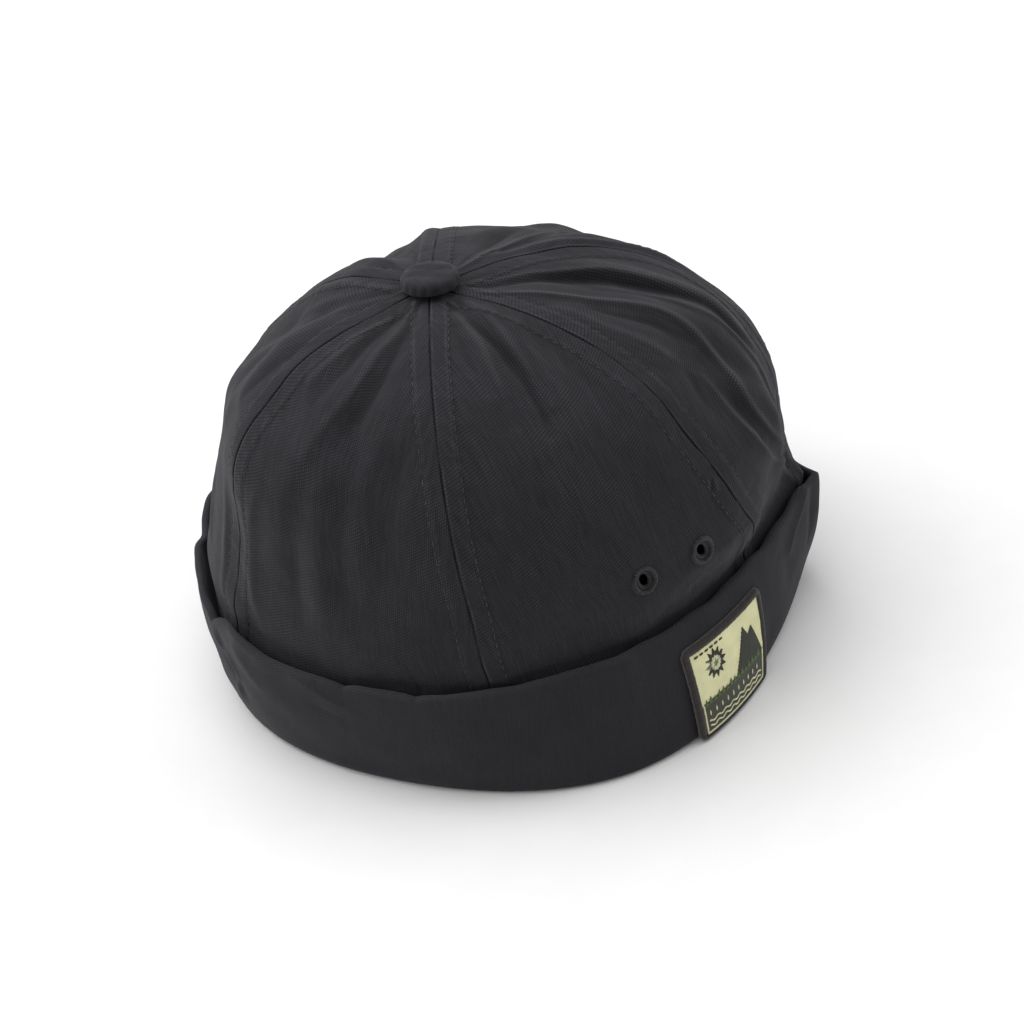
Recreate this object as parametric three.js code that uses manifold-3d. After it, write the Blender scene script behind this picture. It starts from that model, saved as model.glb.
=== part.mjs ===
// A brimless docker cap of cotton twill: six crown panels, a turned-up cuff, a cloth button on top,
// stitched eyelets low on both sides and a woven patch on the cuff.
// Millimetres. +X is the wearer's front, +Y the wearer's left, +Z up, and z = 0 is the table under the cuff.
// A place on the cap is given by its angle round the plan, in degrees from the front towards the wearer's
// left, with a height on the cuff or a latitude on the crown.
import * as THREE from "three";
import { mergeVertices } from "three/addons/utils/BufferGeometryUtils.js";
import Module from "manifold-3d";

const DEG = Math.PI / 180;
const GAP = 0.3;
const NORMAL_STEP = 0.4;
const MERGE_DISTANCE = 1e-4;

// The plan of the cap at the cuff's fold, a slightly pointed oval.
const PLAN = { halfLength: 101, halfWidth: 95, power: 1.95 };

// The cuff: a doubled outer leg, a fold that lies on the table and a single inner leg. grooveFoot is the
// groove's width at its foot as a share of its width at the rim.
const CUFF = {
  height: 42,
  wall: 2.6,
  belly: 1.6,
  rimRound: 1.2,
  rimBevel: 0.7,
  innerWall: 1.4,
  innerTop: 13.7,
  floor: 3,
  floorSlope: 0.4,
  foldHeight: 4.5,
  foldEdge: 1,
  outerTuck: 2,
  innerTuck: 0.6,
  grooveFoot: 0.35,
  steps: 84,
};
// The heights of the rings on the cuff's two faces, as shares of its own height.
const CUFF_RINGS = [0.3, 0.5, 0.72];

// The cuff round the cap. base and rim: how far the fold and the rim stand outside the plan, up: how far
// the rim is above the usual height, gap: the groove between the rim and the crown.
const CUFF_STATIONS = [
  { at: 0, base: -0.3, rim: -6.2, up: -1.5, gap: 1.4 },
  { at: 45, base: 1, rim: -4, up: -2, gap: 2.5 },
  { at: 90, base: -1, rim: -1.2, up: 0, gap: 2.6 },
  { at: 135, base: 0.3, rim: 7.5, up: 1, gap: 2.8 },
  { at: 180, base: 0.8, rim: 4.8, up: 1.2, gap: 3.2 },
  { at: 225, base: -4, rim: -0.7, up: -0.3, gap: 2.2 },
  { at: 270, base: 1.6, rim: -7.2, up: 1, gap: 1.6 },
  { at: 315, base: -2.8, rim: -9, up: -0.3, gap: 1.3 },
];

// The sharp crease that the folded cap keeps at its front, and the small nicks in the rim.
const CREASE = { at: -22, spread: 11, out: 14.2, up: 2.6, rise: 0.8, crownShare: 0.92 };
const NICKS = [
  { at: 180, spread: 3.5, out: -1.5, up: -3 },
  { at: 152, spread: 3.5, out: -1.5, up: -3 },
  { at: -10, spread: 5, out: -2, up: -3 },
];

// The crown above its belly is a superellipse that leans to the back. Latitude runs from 90 at the
// button, through 0 at the belly, down to lowestLatitude at the edge inside the cuff.
const CROWN = {
  halfLength: 99,
  halfWidth: 86,
  belly: 50,
  top: 139.5,
  lowerEdge: 14,
  power: 2.4,
  lean: { x: -14, y: -1 },
  forward: 7.8,
  forwardPower: 0.7,
  blendBelow: 4,
  blendHeight: 24,
  wall: 1.4,
  lowestLatitude: -30,
  highestLatitude: 89.2,
  highestNormal: 88.2,
  columns: 12,
  rows: 18,
};

// Full and hollow places of the soft crown.
const SWELLS = [
  { at: -40, height: 100, wide: 24, tall: 24, out: 2.5 },
  { at: 142, height: 126, wide: 30, tall: 16, out: -6 },
  { at: -176, height: 108, wide: 30, tall: 16, out: 3.3 },
  { at: 178, height: 76, wide: 36, tall: 16, out: -2 },
  { at: 2, height: 80, wide: 24, tall: 15, out: -4.9 },
  { at: -8, height: 114, wide: 20, tall: 12, out: 3 },
  { at: 50, height: 128, wide: 28, tall: 12, out: -3.5 },
  { at: 104, height: 122, wide: 20, tall: 12, out: -2.2 },
  { at: -14, height: 96, wide: 14, tall: 12, out: 2.2 },
  { at: -24, height: 62, wide: 16, tall: 10, out: -1.8 },
  { at: 164, height: 96, wide: 16, tall: 14, out: -2.5 },
  { at: 10, height: 112, wide: 16, tall: 10, out: -2.3 },
  { at: 132, height: 104, wide: 14, tall: 12, out: 1.7 },
  { at: 160, height: 58, wide: 22, tall: 16, out: 2.5 },
];

// The main folds of the cloth, which run down from the button. Each goes from an angle at its upper
// latitude to an angle at its lower one. wide is in millimetres, and out is below zero for a valley.
const FOLDS = [
  { from: -14, top: 84, to: -23, foot: 44, wide: 6, out: -2.6 },
  { from: -6, top: 80, to: -30, foot: 20, wide: 6, out: 2.2 },
  { from: -26, top: 66, to: -39, foot: 8, wide: 6, out: 2 },
  { from: -46, top: 44, to: -30, foot: -6, wide: 6, out: 2 },
  { from: -37, top: 60, to: -50, foot: 20, wide: 6, out: -1.6 },
  { from: -86, top: 80, to: -84, foot: 52, wide: 5, out: -1.4 },
  { from: -100, top: 78, to: -98, foot: 50, wide: 5, out: 1.2 },
  { from: -138, top: 78, to: -142, foot: 40, wide: 6, out: -1.6 },
  { from: -150, top: 70, to: -158, foot: 16, wide: 7, out: 1.6 },
  { from: -132, top: 50, to: -138, foot: 4, wide: 7, out: -1.6 },
  { from: 168, top: 76, to: 172, foot: 40, wide: 7, out: 2 },
  { from: 148, top: 74, to: 146, foot: 34, wide: 8, out: -2.4 },
  { from: 94, top: 76, to: 96, foot: 30, wide: 7, out: -2 },
  { from: 80, top: 70, to: 78, foot: 14, wide: 7, out: 1.6 },
  { from: 34, top: 78, to: 30, foot: 24, wide: 7, out: -2.2 },
  { from: 46, top: 66, to: 44, foot: 10, wide: 7, out: 1.6 },
];

// The seams between the panels: the angle over the top of the crown, the angle at its foot, and the
// heights between which the seam swings from the one to the other.
const SEAMS = [
  { name: "back_right_seam", top: -173, foot: -177, low: 25, high: 78 },
  { name: "side_back_right_seam", top: -118, foot: -116.5, low: 25, high: 78 },
  { name: "side_front_right_seam", top: -59.5, foot: -41, low: 25, high: 78 },
  { name: "front_seam", top: 9, foot: -19, low: 40, high: 128 },
  { name: "side_front_left_seam", top: 75, foot: 46, low: 25, high: 110 },
  { name: "side_back_left_seam", top: 127, foot: 117, low: 25, high: 110 },
];
const PANELS = [
  { name: "crown_back_right", eyelets: [] },
  { name: "crown_side_right", eyelets: ["eyelet_right_back", "eyelet_right_front"] },
  { name: "crown_front_right", eyelets: [] },
  { name: "crown_front_left", eyelets: [] },
  { name: "crown_side_left", eyelets: ["eyelet_left_front", "eyelet_left_back"] },
  { name: "crown_back_left", eyelets: [] },
];

const EYELET = {
  outer: 5,
  inner: 1.9,
  proud: 0.45,
  outerRound: 0.7,
  innerRound: 0.8,
  flank: 0.4,
  hole: 5.3,
  drill: 8,
  sides: 14,
};
const EYELET_HEIGHT = 66;
const EYELETS = [
  { name: "eyelet_right_back", at: -83 },
  { name: "eyelet_right_front", at: -69.5 },
  { name: "eyelet_left_front", at: 69.5 },
  { name: "eyelet_left_back", at: 83 },
];

// fullness below 1 makes the dome squarer than an ellipse.
const BUTTON = {
  radius: 9.8,
  height: 5.6,
  edge: 1.4,
  underEdge: 0.84,
  underInset: 1,
  dish: 0.25,
  fullness: 0.7,
  sides: 28,
  arcSteps: 5,
};

const PATCH = { at: -65, low: 1.2, width: 40, height: 33.4, corner: 3, thick: 1, weaveCorner: 1.2 };
const PATCH_GRID = { columns: 8, cornerSteps: 3, sideSteps: 4 };
// shoulder and crest are shares of the border's thickness and half width where its section turns.
const BORDER = { width: 2.8, thick: 1.7, shoulder: 0.6, crest: 0.5, steps: 44 };

const CLOTH = { color: 0x2b2b30, roughness: 0.92, metalness: 0 };
const PATCH_CLOTH = { color: 0xd8d3a6, roughness: 0.85, metalness: 0 };
const BORDER_THREAD = { color: 0x3a2c2a, roughness: 0.8, metalness: 0 };

// A step from 0 to 1 with level ends.
function smooth(value) {
  const x = Math.min(1, Math.max(0, value));
  return x * x * (3 - 2 * x);
}

// The signed difference of two angles in degrees, from -180 to 180.
function turn(at, from) {
  return ((((at - from + 180) % 360) + 360) % 360) - 180;
}

function signedPower(value, power) {
  return Math.sign(value) * Math.abs(value) ** power;
}

// A column of the cuff's stations at any angle, on a smooth closed curve through them.
function station(column, at) {
  const count = CUFF_STATIONS.length;
  const place = ((((at % 360) + 360) % 360) / 360) * count;
  const index = Math.floor(place);
  const f = place - index;
  const value = (step) => CUFF_STATIONS[(index + step + count) % count][column];
  const [before, here, next, after] = [-1, 0, 1, 2].map(value);
  const slope = next - before;
  const bend = 2 * before - 5 * here + 4 * next - after;
  const twist = 3 * here - before - 3 * next + after;
  return here + 0.5 * f * (slope + f * (bend + f * twist));
}

// A point of the plan's oval with the given half length and half width.
function oval(at, halfLength, halfWidth) {
  const power = 2 / PLAN.power;
  const x = halfLength * signedPower(Math.cos(at * DEG), power);
  const y = halfWidth * signedPower(Math.sin(at * DEG), power);
  return new THREE.Vector2(x, y);
}

// The direction that leads straight out of the plan.
function outward(at) {
  return oval(at, PLAN.halfLength, PLAN.halfWidth).normalize();
}

function creaseShare(at) {
  return Math.exp(-Math.abs(turn(at, CREASE.at)) / CREASE.spread);
}

function nicks(column, at) {
  const push = (nick) => nick[column] * Math.exp(-((turn(at, nick.at) / nick.spread) ** 2));
  return NICKS.reduce((sum, nick) => sum + push(nick), 0);
}

function rimHeight(at) {
  return CUFF.height + station("up", at) + CREASE.up * creaseShare(at) + nicks("up", at);
}

// How far the rounded fold draws in at a height.
function foldTuck(z, most) {
  const below = Math.max(0, 1 - z / CUFF.foldHeight);
  return most * (1 - Math.sqrt(1 - below ** 2));
}

// How far the cuff's outer face stands outside the plan at a height.
function cuffOut(at, z) {
  const share = Math.min(1, Math.max(0, z / rimHeight(at)));
  const leaning = station("base", at) * (1 - share) + station("rim", at) * share;
  const crease = (CREASE.out * creaseShare(at) + nicks("out", at)) * share ** CREASE.rise;
  return leaning + crease + CUFF.belly * Math.sin(Math.PI * share) - foldTuck(z, CUFF.outerTuck);
}

// A point at a distance outside the plan.
function planPoint(at, out, z) {
  const point = oval(at, PLAN.halfLength, PLAN.halfWidth).addScaledVector(outward(at), out);
  return new THREE.Vector3(point.x, point.y, z);
}

// How far the crown's foot, which stands inside the cuff, is outside the plan.
function footOut(at, z) {
  const height = Math.min(z, rimHeight(at));
  const share = Math.max(0, height / rimHeight(at));
  const creaseLeft = CREASE.out * creaseShare(at) * share ** CREASE.rise * CREASE.crownShare;
  const groove = station("gap", at) * (CUFF.grooveFoot + (1 - CUFF.grooveFoot) * share);
  return cuffOut(at, Math.max(height, CUFF.foldHeight)) - creaseLeft - CUFF.wall - groove;
}

// The height of a latitude.
function crownHeight(latitude) {
  if (latitude <= 0) {
    return CROWN.belly + ((CROWN.belly - CROWN.lowerEdge) * latitude) / -CROWN.lowestLatitude;
  }
  return CROWN.belly + (CROWN.top - CROWN.belly) * Math.sin(latitude * DEG) ** (2 / CROWN.power);
}

// How wide the crown is at a latitude, as a share of its belly.
function crownWidth(latitude) {
  return latitude <= 0 ? 1 : Math.cos(latitude * DEG) ** (2 / CROWN.power);
}

// How far the folds push the cloth out.
function foldOut(at, latitude) {
  const reach = 0.5 * (PLAN.halfLength + PLAN.halfWidth) * crownWidth(latitude);
  return FOLDS.reduce((sum, fold) => {
    const along = (fold.top - latitude) / (fold.top - fold.foot);
    if (along <= 0 || along >= 1) return sum;
    const across = turn(at, fold.from + turn(fold.to, fold.from) * along) * DEG * reach;
    return sum + fold.out * Math.sin(Math.PI * along) * Math.exp(-((across / fold.wide) ** 2));
  }, 0);
}

// A point of the crown's outer face before the folds.
function crownSmooth(at, latitude) {
  const z = crownHeight(latitude);
  const up = Math.max(0, (z - CROWN.belly) / (CROWN.top - CROWN.belly));
  const free = oval(at, CROWN.halfLength, CROWN.halfWidth).multiplyScalar(crownWidth(latitude));
  free.x += CROWN.lean.x * up ** 2 + CROWN.forward * up ** CROWN.forwardPower * (1 - up);
  free.y += CROWN.lean.y * up ** 2;
  const swell = SWELLS.reduce((sum, s) => {
    const away = (turn(at, s.at) / s.wide) ** 2 + ((z - s.height) / s.tall) ** 2;
    return sum + s.out * Math.exp(-away);
  }, 0);
  free.addScaledVector(outward(at), swell);
  const foot = planPoint(at, footOut(at, z), z);
  const share = smooth((z - rimHeight(at) + CROWN.blendBelow) / CROWN.blendHeight);
  return new THREE.Vector3(foot.x + (free.x - foot.x) * share, foot.y + (free.y - foot.y) * share, z);
}

// The outward normal of a surface given by two parameters.
function normalOf(surface, at, other) {
  const around = surface(at + NORMAL_STEP, other).sub(surface(at - NORMAL_STEP, other));
  const up = surface(at, other + NORMAL_STEP).sub(surface(at, other - NORMAL_STEP));
  return around.cross(up).normalize();
}

// A point of the crown's outer face with its folds.
function crownPoint(at, latitude) {
  const normal = normalOf(crownSmooth, at, Math.min(latitude, CROWN.highestNormal));
  return crownSmooth(at, latitude).addScaledVector(normal, foldOut(at, latitude));
}

// The latitude of a height above the belly.
function latitudeOf(z) {
  return Math.asin(((z - CROWN.belly) / (CROWN.top - CROWN.belly)) ** (CROWN.power / 2)) / DEG;
}

function seamAngle(seam, z) {
  const share = smooth((z - seam.low) / (seam.high - seam.low));
  return seam.foot + (seam.top - seam.foot) * share;
}

// A geometry from points and from faces of four point numbers.
function geometryOf(points, faces) {
  const index = faces.flatMap(([a, b, c, d]) => [a, b, c, a, c, d]);
  const geometry = new THREE.BufferGeometry();
  geometry.setFromPoints(points);
  geometry.setIndex(index);
  return geometry;
}

// A closed wall between two grids of points, each a list of rows that go up the cap. The columns go round
// the cap from its front towards its left, and the first grid is the wall's outer face.
function wallBetween(outer, inner) {
  const rows = outer.length;
  const columns = outer[0].length;
  const points = [...outer.flat(), ...inner.flat()];
  const out = (row, column) => row * columns + column;
  const back = (row, column) => rows * columns + out(row, column);
  const faces = [];
  for (let row = 0; row < rows - 1; row++) {
    for (let column = 0; column < columns - 1; column++) {
      faces.push([out(row, column), out(row, column + 1), out(row + 1, column + 1), out(row + 1, column)]);
      const behind = [back(row, column), back(row + 1, column)];
      faces.push([...behind, back(row + 1, column + 1), back(row, column + 1)]);
    }
    const last = columns - 1;
    faces.push([out(row, 0), out(row + 1, 0), back(row + 1, 0), back(row, 0)]);
    faces.push([out(row, last), back(row, last), back(row + 1, last), out(row + 1, last)]);
  }
  for (let column = 0; column < columns - 1; column++) {
    const top = rows - 1;
    faces.push([out(0, column), back(0, column), back(0, column + 1), out(0, column + 1)]);
    faces.push([out(top, column), out(top, column + 1), back(top, column + 1), back(top, column)]);
  }
  return geometryOf(points, faces);
}

// A closed ring: sections is a list of closed sections that follow each other round the ring.
function ringOf(sections) {
  const count = sections.length;
  const size = sections[0].length;
  const number = (step, point) => (step % count) * size + (point % size);
  const faces = [];
  for (let step = 0; step < count; step++) {
    const next = step + 1;
    for (let point = 0; point < size; point++) {
      const beside = [number(next, point), number(next, point + 1)];
      faces.push([number(step, point), ...beside, number(step, point + 1)]);
    }
  }
  return geometryOf(sections.flat(), faces);
}

function range(count, low, high) {
  return Array.from({ length: count + 1 }, (_, step) => low + ((high - low) * step) / count);
}

// One crown panel, from one seam to the next with half a gap left free at each.
function panelGeometry(fromSeam, toSeam) {
  const latitudes = range(CROWN.rows, CROWN.lowestLatitude, CROWN.highestLatitude);
  const outer = [];
  const inner = [];
  for (const latitude of latitudes) {
    const z = crownHeight(latitude);
    const reach = PLAN.halfWidth * crownWidth(latitude);
    const inset = GAP / 2 / reach / DEG;
    const start = seamAngle(fromSeam, z) + inset;
    const width = ((seamAngle(toSeam, z) - seamAngle(fromSeam, z) + 360) % 360) - 2 * inset;
    const angles = range(CROWN.columns, start, start + width);
    const row = angles.map((at) => crownPoint(at, latitude));
    outer.push(row);
    const normals = angles.map((at) => normalOf(crownPoint, at, Math.min(latitude, CROWN.highestNormal)));
    inner.push(row.map((point, column) => point.clone().addScaledVector(normals[column], -CROWN.wall)));
  }
  return wallBetween(outer, inner);
}

// The cuff's section at an angle: up the outer face, over the rim, down into the groove, up and down
// the inner leg and back along the flat fold.
function cuffSection(at) {
  const rim = rimHeight(at);
  const face = (z, inwards = 0) => [cuffOut(at, z) - inwards, z];
  const groove = (z, inwards = 0) => [footOut(at, z) - inwards, z];
  const innerFold = (z) => [footOut(at, z) - CUFF.innerWall + foldTuck(z, CUFF.innerTuck), z];
  const rings = CUFF_RINGS.map((share) => rim * share);
  const section = [
    face(0),
    face(CUFF.foldEdge),
    face(CUFF.foldHeight),
    ...rings.map((z) => face(z)),
    face(rim - CUFF.rimRound),
    face(rim, CUFF.rimBevel),
    face(rim, CUFF.wall - CUFF.rimBevel),
    face(rim - CUFF.rimRound, CUFF.wall),
    ...rings.toReversed().map((z) => face(z, CUFF.wall)),
    [cuffOut(at, CUFF.foldHeight) - CUFF.wall, CUFF.floor + CUFF.floorSlope],
    [footOut(at, CUFF.foldHeight), CUFF.floor],
    groove(CUFF.innerTop),
    groove(CUFF.innerTop, CUFF.innerWall),
    groove(CUFF.foldHeight, CUFF.innerWall),
    innerFold(CUFF.foldEdge),
    innerFold(0),
  ];
  return section.map(([out, z]) => planPoint(at, out, z));
}

function cuffGeometry() {
  const sections = range(CUFF.steps, 0, 360)
    .slice(0, -1)
    .map((at) => cuffSection(at + CREASE.at));
  return ringOf(sections);
}

// The button: a domed disc with a slightly dished underside, its axis along y.
function buttonGeometry() {
  const dome = BUTTON.height - BUTTON.edge;
  const profile = [new THREE.Vector2(0, BUTTON.dish)];
  profile.push(new THREE.Vector2(BUTTON.radius - BUTTON.underInset, 0));
  profile.push(new THREE.Vector2(BUTTON.radius, BUTTON.underEdge));
  for (const angle of range(BUTTON.arcSteps, 0, 90)) {
    const across = angle === 90 ? 0 : BUTTON.radius * Math.cos(angle * DEG) ** BUTTON.fullness;
    profile.push(new THREE.Vector2(across, BUTTON.edge + dome * Math.sin(angle * DEG)));
  }
  return new THREE.LatheGeometry(profile, BUTTON.sides);
}

// An eyelet: a rounded ring through the cloth, its axis along y and its middle at the wall's middle.
function eyeletGeometry() {
  const half = CROWN.wall / 2 + EYELET.proud;
  const flank = half * EYELET.flank;
  const profile = [
    [EYELET.inner, -flank],
    [EYELET.inner + EYELET.innerRound, -half],
    [EYELET.outer - EYELET.outerRound, -half],
    [EYELET.outer, -flank],
    [EYELET.outer, flank],
    [EYELET.outer - EYELET.outerRound, half],
    [EYELET.inner + EYELET.innerRound, half],
    [EYELET.inner, flank],
    [EYELET.inner, -flank],
  ];
  return new THREE.LatheGeometry(profile.map(([x, y]) => new THREE.Vector2(x, y)), EYELET.sides);
}

// Where an eyelet goes: the middle of the wall, and a turn from +Y to the cloth's normal.
function eyeletPlace(at) {
  const latitude = latitudeOf(EYELET_HEIGHT);
  const normal = normalOf(crownPoint, at, latitude);
  const position = crownPoint(at, latitude).addScaledVector(normal, -CROWN.wall / 2);
  const quaternion = new THREE.Quaternion().setFromUnitVectors(new THREE.Vector3(0, 1, 0), normal);
  return { position, quaternion };
}

// A point over the cuff's outer face: across and up in millimetres from the patch's middle foot.
function onCuff(across, up, clear) {
  const z = PATCH.low + up;
  const at = PATCH.at + across / (PLAN.halfWidth * DEG);
  const surface = (angle, height) => planPoint(angle, cuffOut(angle, height), height);
  return surface(at, z).addScaledVector(normalOf(surface, at, z), clear);
}

// The half width of a rectangle with round corners at a height above its foot.
function roundedHalfWidth(width, height, corner, up) {
  const fromEnd = Math.min(up, height - up);
  const rise = Math.max(0, corner - fromEnd);
  return width / 2 - corner + Math.sqrt(Math.max(0, corner ** 2 - rise ** 2));
}

function patchGeometry() {
  const inset = BORDER.width + GAP;
  const width = PATCH.width - 2 * inset;
  const height = PATCH.height - 2 * inset;
  const corner = PATCH.weaveCorner;
  const arc = range(PATCH_GRID.cornerSteps, 0, 90).map((angle) => corner * (1 - Math.cos(angle * DEG)));
  const middle = range(PATCH_GRID.sideSteps, corner, height - corner).slice(1, -1);
  const ups = [...arc, ...middle, ...arc.map((up) => height - up).reverse()];
  const rows = (clear) =>
    ups.map((up) => {
      const half = roundedHalfWidth(width, height, corner, up);
      return range(PATCH_GRID.columns, -half, half).map((across) => onCuff(across, up + inset, clear));
    });
  return wallBetween(rows(GAP + PATCH.thick), rows(GAP));
}

// The border follows a round-cornered path, with a rounded section that stands on the cuff.
function borderGeometry() {
  const half = BORDER.width / 2;
  const shape = new THREE.Shape();
  const right = PATCH.width / 2 - half;
  const top = PATCH.height - half;
  const turnIn = PATCH.corner - half;
  shape.moveTo(-right + turnIn, half);
  shape.lineTo(right - turnIn, half);
  shape.absarc(right - turnIn, half + turnIn, turnIn, -Math.PI / 2, 0, false);
  shape.lineTo(right, top - turnIn);
  shape.absarc(right - turnIn, top - turnIn, turnIn, 0, Math.PI / 2, false);
  shape.lineTo(-right + turnIn, top);
  shape.absarc(-right + turnIn, top - turnIn, turnIn, Math.PI / 2, Math.PI, false);
  shape.lineTo(-right, half + turnIn);
  shape.absarc(-right + turnIn, half + turnIn, turnIn, Math.PI, 1.5 * Math.PI, false);
  const shoulder = GAP + BORDER.thick * BORDER.shoulder;
  const crest = GAP + BORDER.thick;
  const section = [
    [half, GAP],
    [half, shoulder],
    [half * BORDER.crest, crest],
    [-half * BORDER.crest, crest],
    [-half, shoulder],
    [-half, GAP],
  ];
  const path = range(BORDER.steps, 0, 1).slice(0, -1);
  const sections = path.map((share) => {
    const { x, y } = shape.getPointAt(share);
    const along = shape.getTangentAt(share);
    return section.map(([side, clear]) => onCuff(x + side * along.y, y - side * along.x, clear));
  });
  return ringOf(sections);
}

function meshOf(name, geometry, finish) {
  const mesh = new THREE.Mesh(geometry, new THREE.MeshStandardMaterial({ ...finish, flatShading: true }));
  mesh.name = name;
  return mesh;
}

const wasm = await Module();
wasm.setup();

function solidOf(geometry) {
  const bare = geometry.clone();
  bare.deleteAttribute("normal");
  bare.deleteAttribute("uv");
  const merged = mergeVertices(bare, MERGE_DISTANCE);
  const vertProperties = new Float32Array(merged.attributes.position.array);
  const triVerts = new Uint32Array(merged.index.array);
  return new wasm.Manifold(new wasm.Mesh({ numProp: 3, vertProperties, triVerts }));
}

function geometryOfSolid(solid) {
  const { vertProperties, triVerts } = solid.getMesh();
  const geometry = new THREE.BufferGeometry();
  geometry.setAttribute("position", new THREE.BufferAttribute(vertProperties, 3));
  geometry.setIndex(new THREE.BufferAttribute(triVerts, 1));
  return geometry;
}

// A panel with a round hole for each of its eyelets.
function cutEyelets(geometry, names) {
  const drill = new THREE.CylinderGeometry(EYELET.hole, EYELET.hole, EYELET.drill, EYELET.sides);
  let solid = solidOf(geometry);
  for (const { at } of EYELETS.filter(({ name }) => names.includes(name))) {
    const { position, quaternion } = eyeletPlace(at);
    const placed = drill.clone().applyQuaternion(quaternion).translate(position.x, position.y, position.z);
    solid = solid.subtract(solidOf(placed));
  }
  return geometryOfSolid(solid);
}

const cap = new THREE.Group();

const crown = new THREE.Group();
PANELS.forEach(({ name, eyelets }, number) => {
  const geometry = panelGeometry(SEAMS[number], SEAMS[(number + 1) % SEAMS.length]);
  crown.add(meshOf(name, eyelets.length ? cutEyelets(geometry, eyelets) : geometry, CLOTH));
});
for (const { name, at } of EYELETS) {
  const eyelet = meshOf(name, eyeletGeometry(), CLOTH);
  const { position, quaternion } = eyeletPlace(at);
  eyelet.position.copy(position);
  eyelet.quaternion.copy(quaternion);
  crown.add(eyelet);
}
const button = meshOf("top_button", buttonGeometry(), CLOTH);
button.rotation.x = Math.PI / 2;
button.position.set(CROWN.lean.x, CROWN.lean.y, CROWN.top + GAP);
crown.add(button);
cap.add(crown);

const band = new THREE.Group();
band.add(meshOf("cuff", cuffGeometry(), CLOTH));
band.add(meshOf("patch", patchGeometry(), PATCH_CLOTH));
band.add(meshOf("patch_border", borderGeometry(), BORDER_THREAD));
cap.add(band);

// The origin goes to the middle of the cap's box, on the table.
const box = new THREE.Box3().setFromObject(cap);
cap.position.set(-(box.min.x + box.max.x) / 2, -(box.min.y + box.max.y) / 2, -box.min.z);

export default cap;
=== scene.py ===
"""A brimless docker cap of dark cotton twill.

Six crown panels are sewn together with pressed-open seams and twin topstitching. A covered button closes
them on top, stitched eyelets air them, and a turned-up cuff carries a small woven patch.

Sizes are in millimetres and degrees, and every mesh is made in metres. A place on the cap is given by its
angle round the plan, from the wearer's front towards the wearer's left, with a height on the cuff or a
latitude on the crown, where 90 is the button and 0 the crown's widest place.
"""

import logging
import math
from collections.abc import Callable, Sequence
from dataclasses import dataclass, field
from enum import Enum

import bpy
import numpy as np
from mathutils import Matrix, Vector
from numpy.typing import NDArray

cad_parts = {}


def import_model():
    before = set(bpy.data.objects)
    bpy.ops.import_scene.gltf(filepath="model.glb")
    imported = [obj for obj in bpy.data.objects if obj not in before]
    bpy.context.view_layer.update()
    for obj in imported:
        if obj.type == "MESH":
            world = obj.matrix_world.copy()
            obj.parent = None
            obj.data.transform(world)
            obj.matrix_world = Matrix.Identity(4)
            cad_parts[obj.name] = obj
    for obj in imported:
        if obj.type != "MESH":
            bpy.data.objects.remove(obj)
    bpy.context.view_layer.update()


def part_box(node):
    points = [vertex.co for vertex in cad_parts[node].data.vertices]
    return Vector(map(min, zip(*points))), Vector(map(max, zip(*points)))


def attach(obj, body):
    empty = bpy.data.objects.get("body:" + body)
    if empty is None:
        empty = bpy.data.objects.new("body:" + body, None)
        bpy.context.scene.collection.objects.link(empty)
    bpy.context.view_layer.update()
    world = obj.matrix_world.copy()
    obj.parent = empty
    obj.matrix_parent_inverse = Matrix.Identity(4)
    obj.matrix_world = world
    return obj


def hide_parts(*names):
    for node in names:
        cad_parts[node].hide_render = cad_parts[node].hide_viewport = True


Array = NDArray[np.float64]
Faces = NDArray[np.int64]
Colour = tuple[float, float, float]
Pairs = tuple[tuple[float, float], ...]
Material = bpy.types.Material
Socket = bpy.types.NodeSocket
Feed = Socket | float | tuple[float, ...]

LOG = logging.getLogger("cap")
MM = 0.001
BODY = "root"


class Slot(Enum):
    """The record's material slots."""

    CROWN = "crown_cloth"
    CUFF = "cuff_cloth"
    BUTTON = "button_cloth"
    EYELET = "eyelet_thread"
    PATCH = "patch_weave"
    BORDER = "border_thread"


class Side(Enum):
    """The two sides of a seam, by the panel that each belongs to."""

    BEFORE = "before"
    AFTER = "after"


def linear(red: float, green: float, blue: float) -> Colour:
    """Turns a colour seen on a screen, from 0 to 255, into light.

    Args:
        red: The red part.
        green: The green part.
        blue: The blue part.

    Returns:
        The three parts as linear light, from 0 to 1.
    """
    return tuple(((part / 255 + 0.055) / 1.055) ** 2.4 for part in (red, green, blue))


def smooth_step(value: Array) -> Array:
    """Returns a step from 0 to 1 with level ends."""
    x = np.clip(value, 0.0, 1.0)
    return x * x * (3.0 - 2.0 * x)


def bell(value: Array) -> Array:
    """Returns a bell curve, 1 at zero."""
    return np.exp(-(value**2))


def turn(at: Array, start: float | Array) -> Array:
    """Returns the signed angle from start to at, from -180 up to 180."""
    return (np.asarray(at) - start + 180.0) % 360.0 - 180.0


def unit(vectors: Array) -> Array:
    """Returns the vectors at length 1."""
    return vectors / np.maximum(np.linalg.norm(vectors, axis=-1, keepdims=True), 1e-12)


def run_along(points: Array) -> Array:
    """Returns how far along a line, or along each line of a stack, each point is."""
    steps = np.linalg.norm(np.diff(points, axis=-2), axis=-1)
    start = np.zeros(steps.shape[:-1] + (1,))
    return np.concatenate([start, np.cumsum(steps, axis=-1)], axis=-1)


def pick_along(places: Array, lengths: Array, points: Array) -> Array:
    """Reads points on a line at the given lengths along it.

    Args:
        places: The lengths to read at.
        lengths: The length along the line of each of its points.
        points: The line's points or vectors.

    Returns:
        One point for each place.
    """
    return np.stack([np.interp(places, lengths, points[:, axis]) for axis in range(points.shape[1])], -1)


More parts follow.
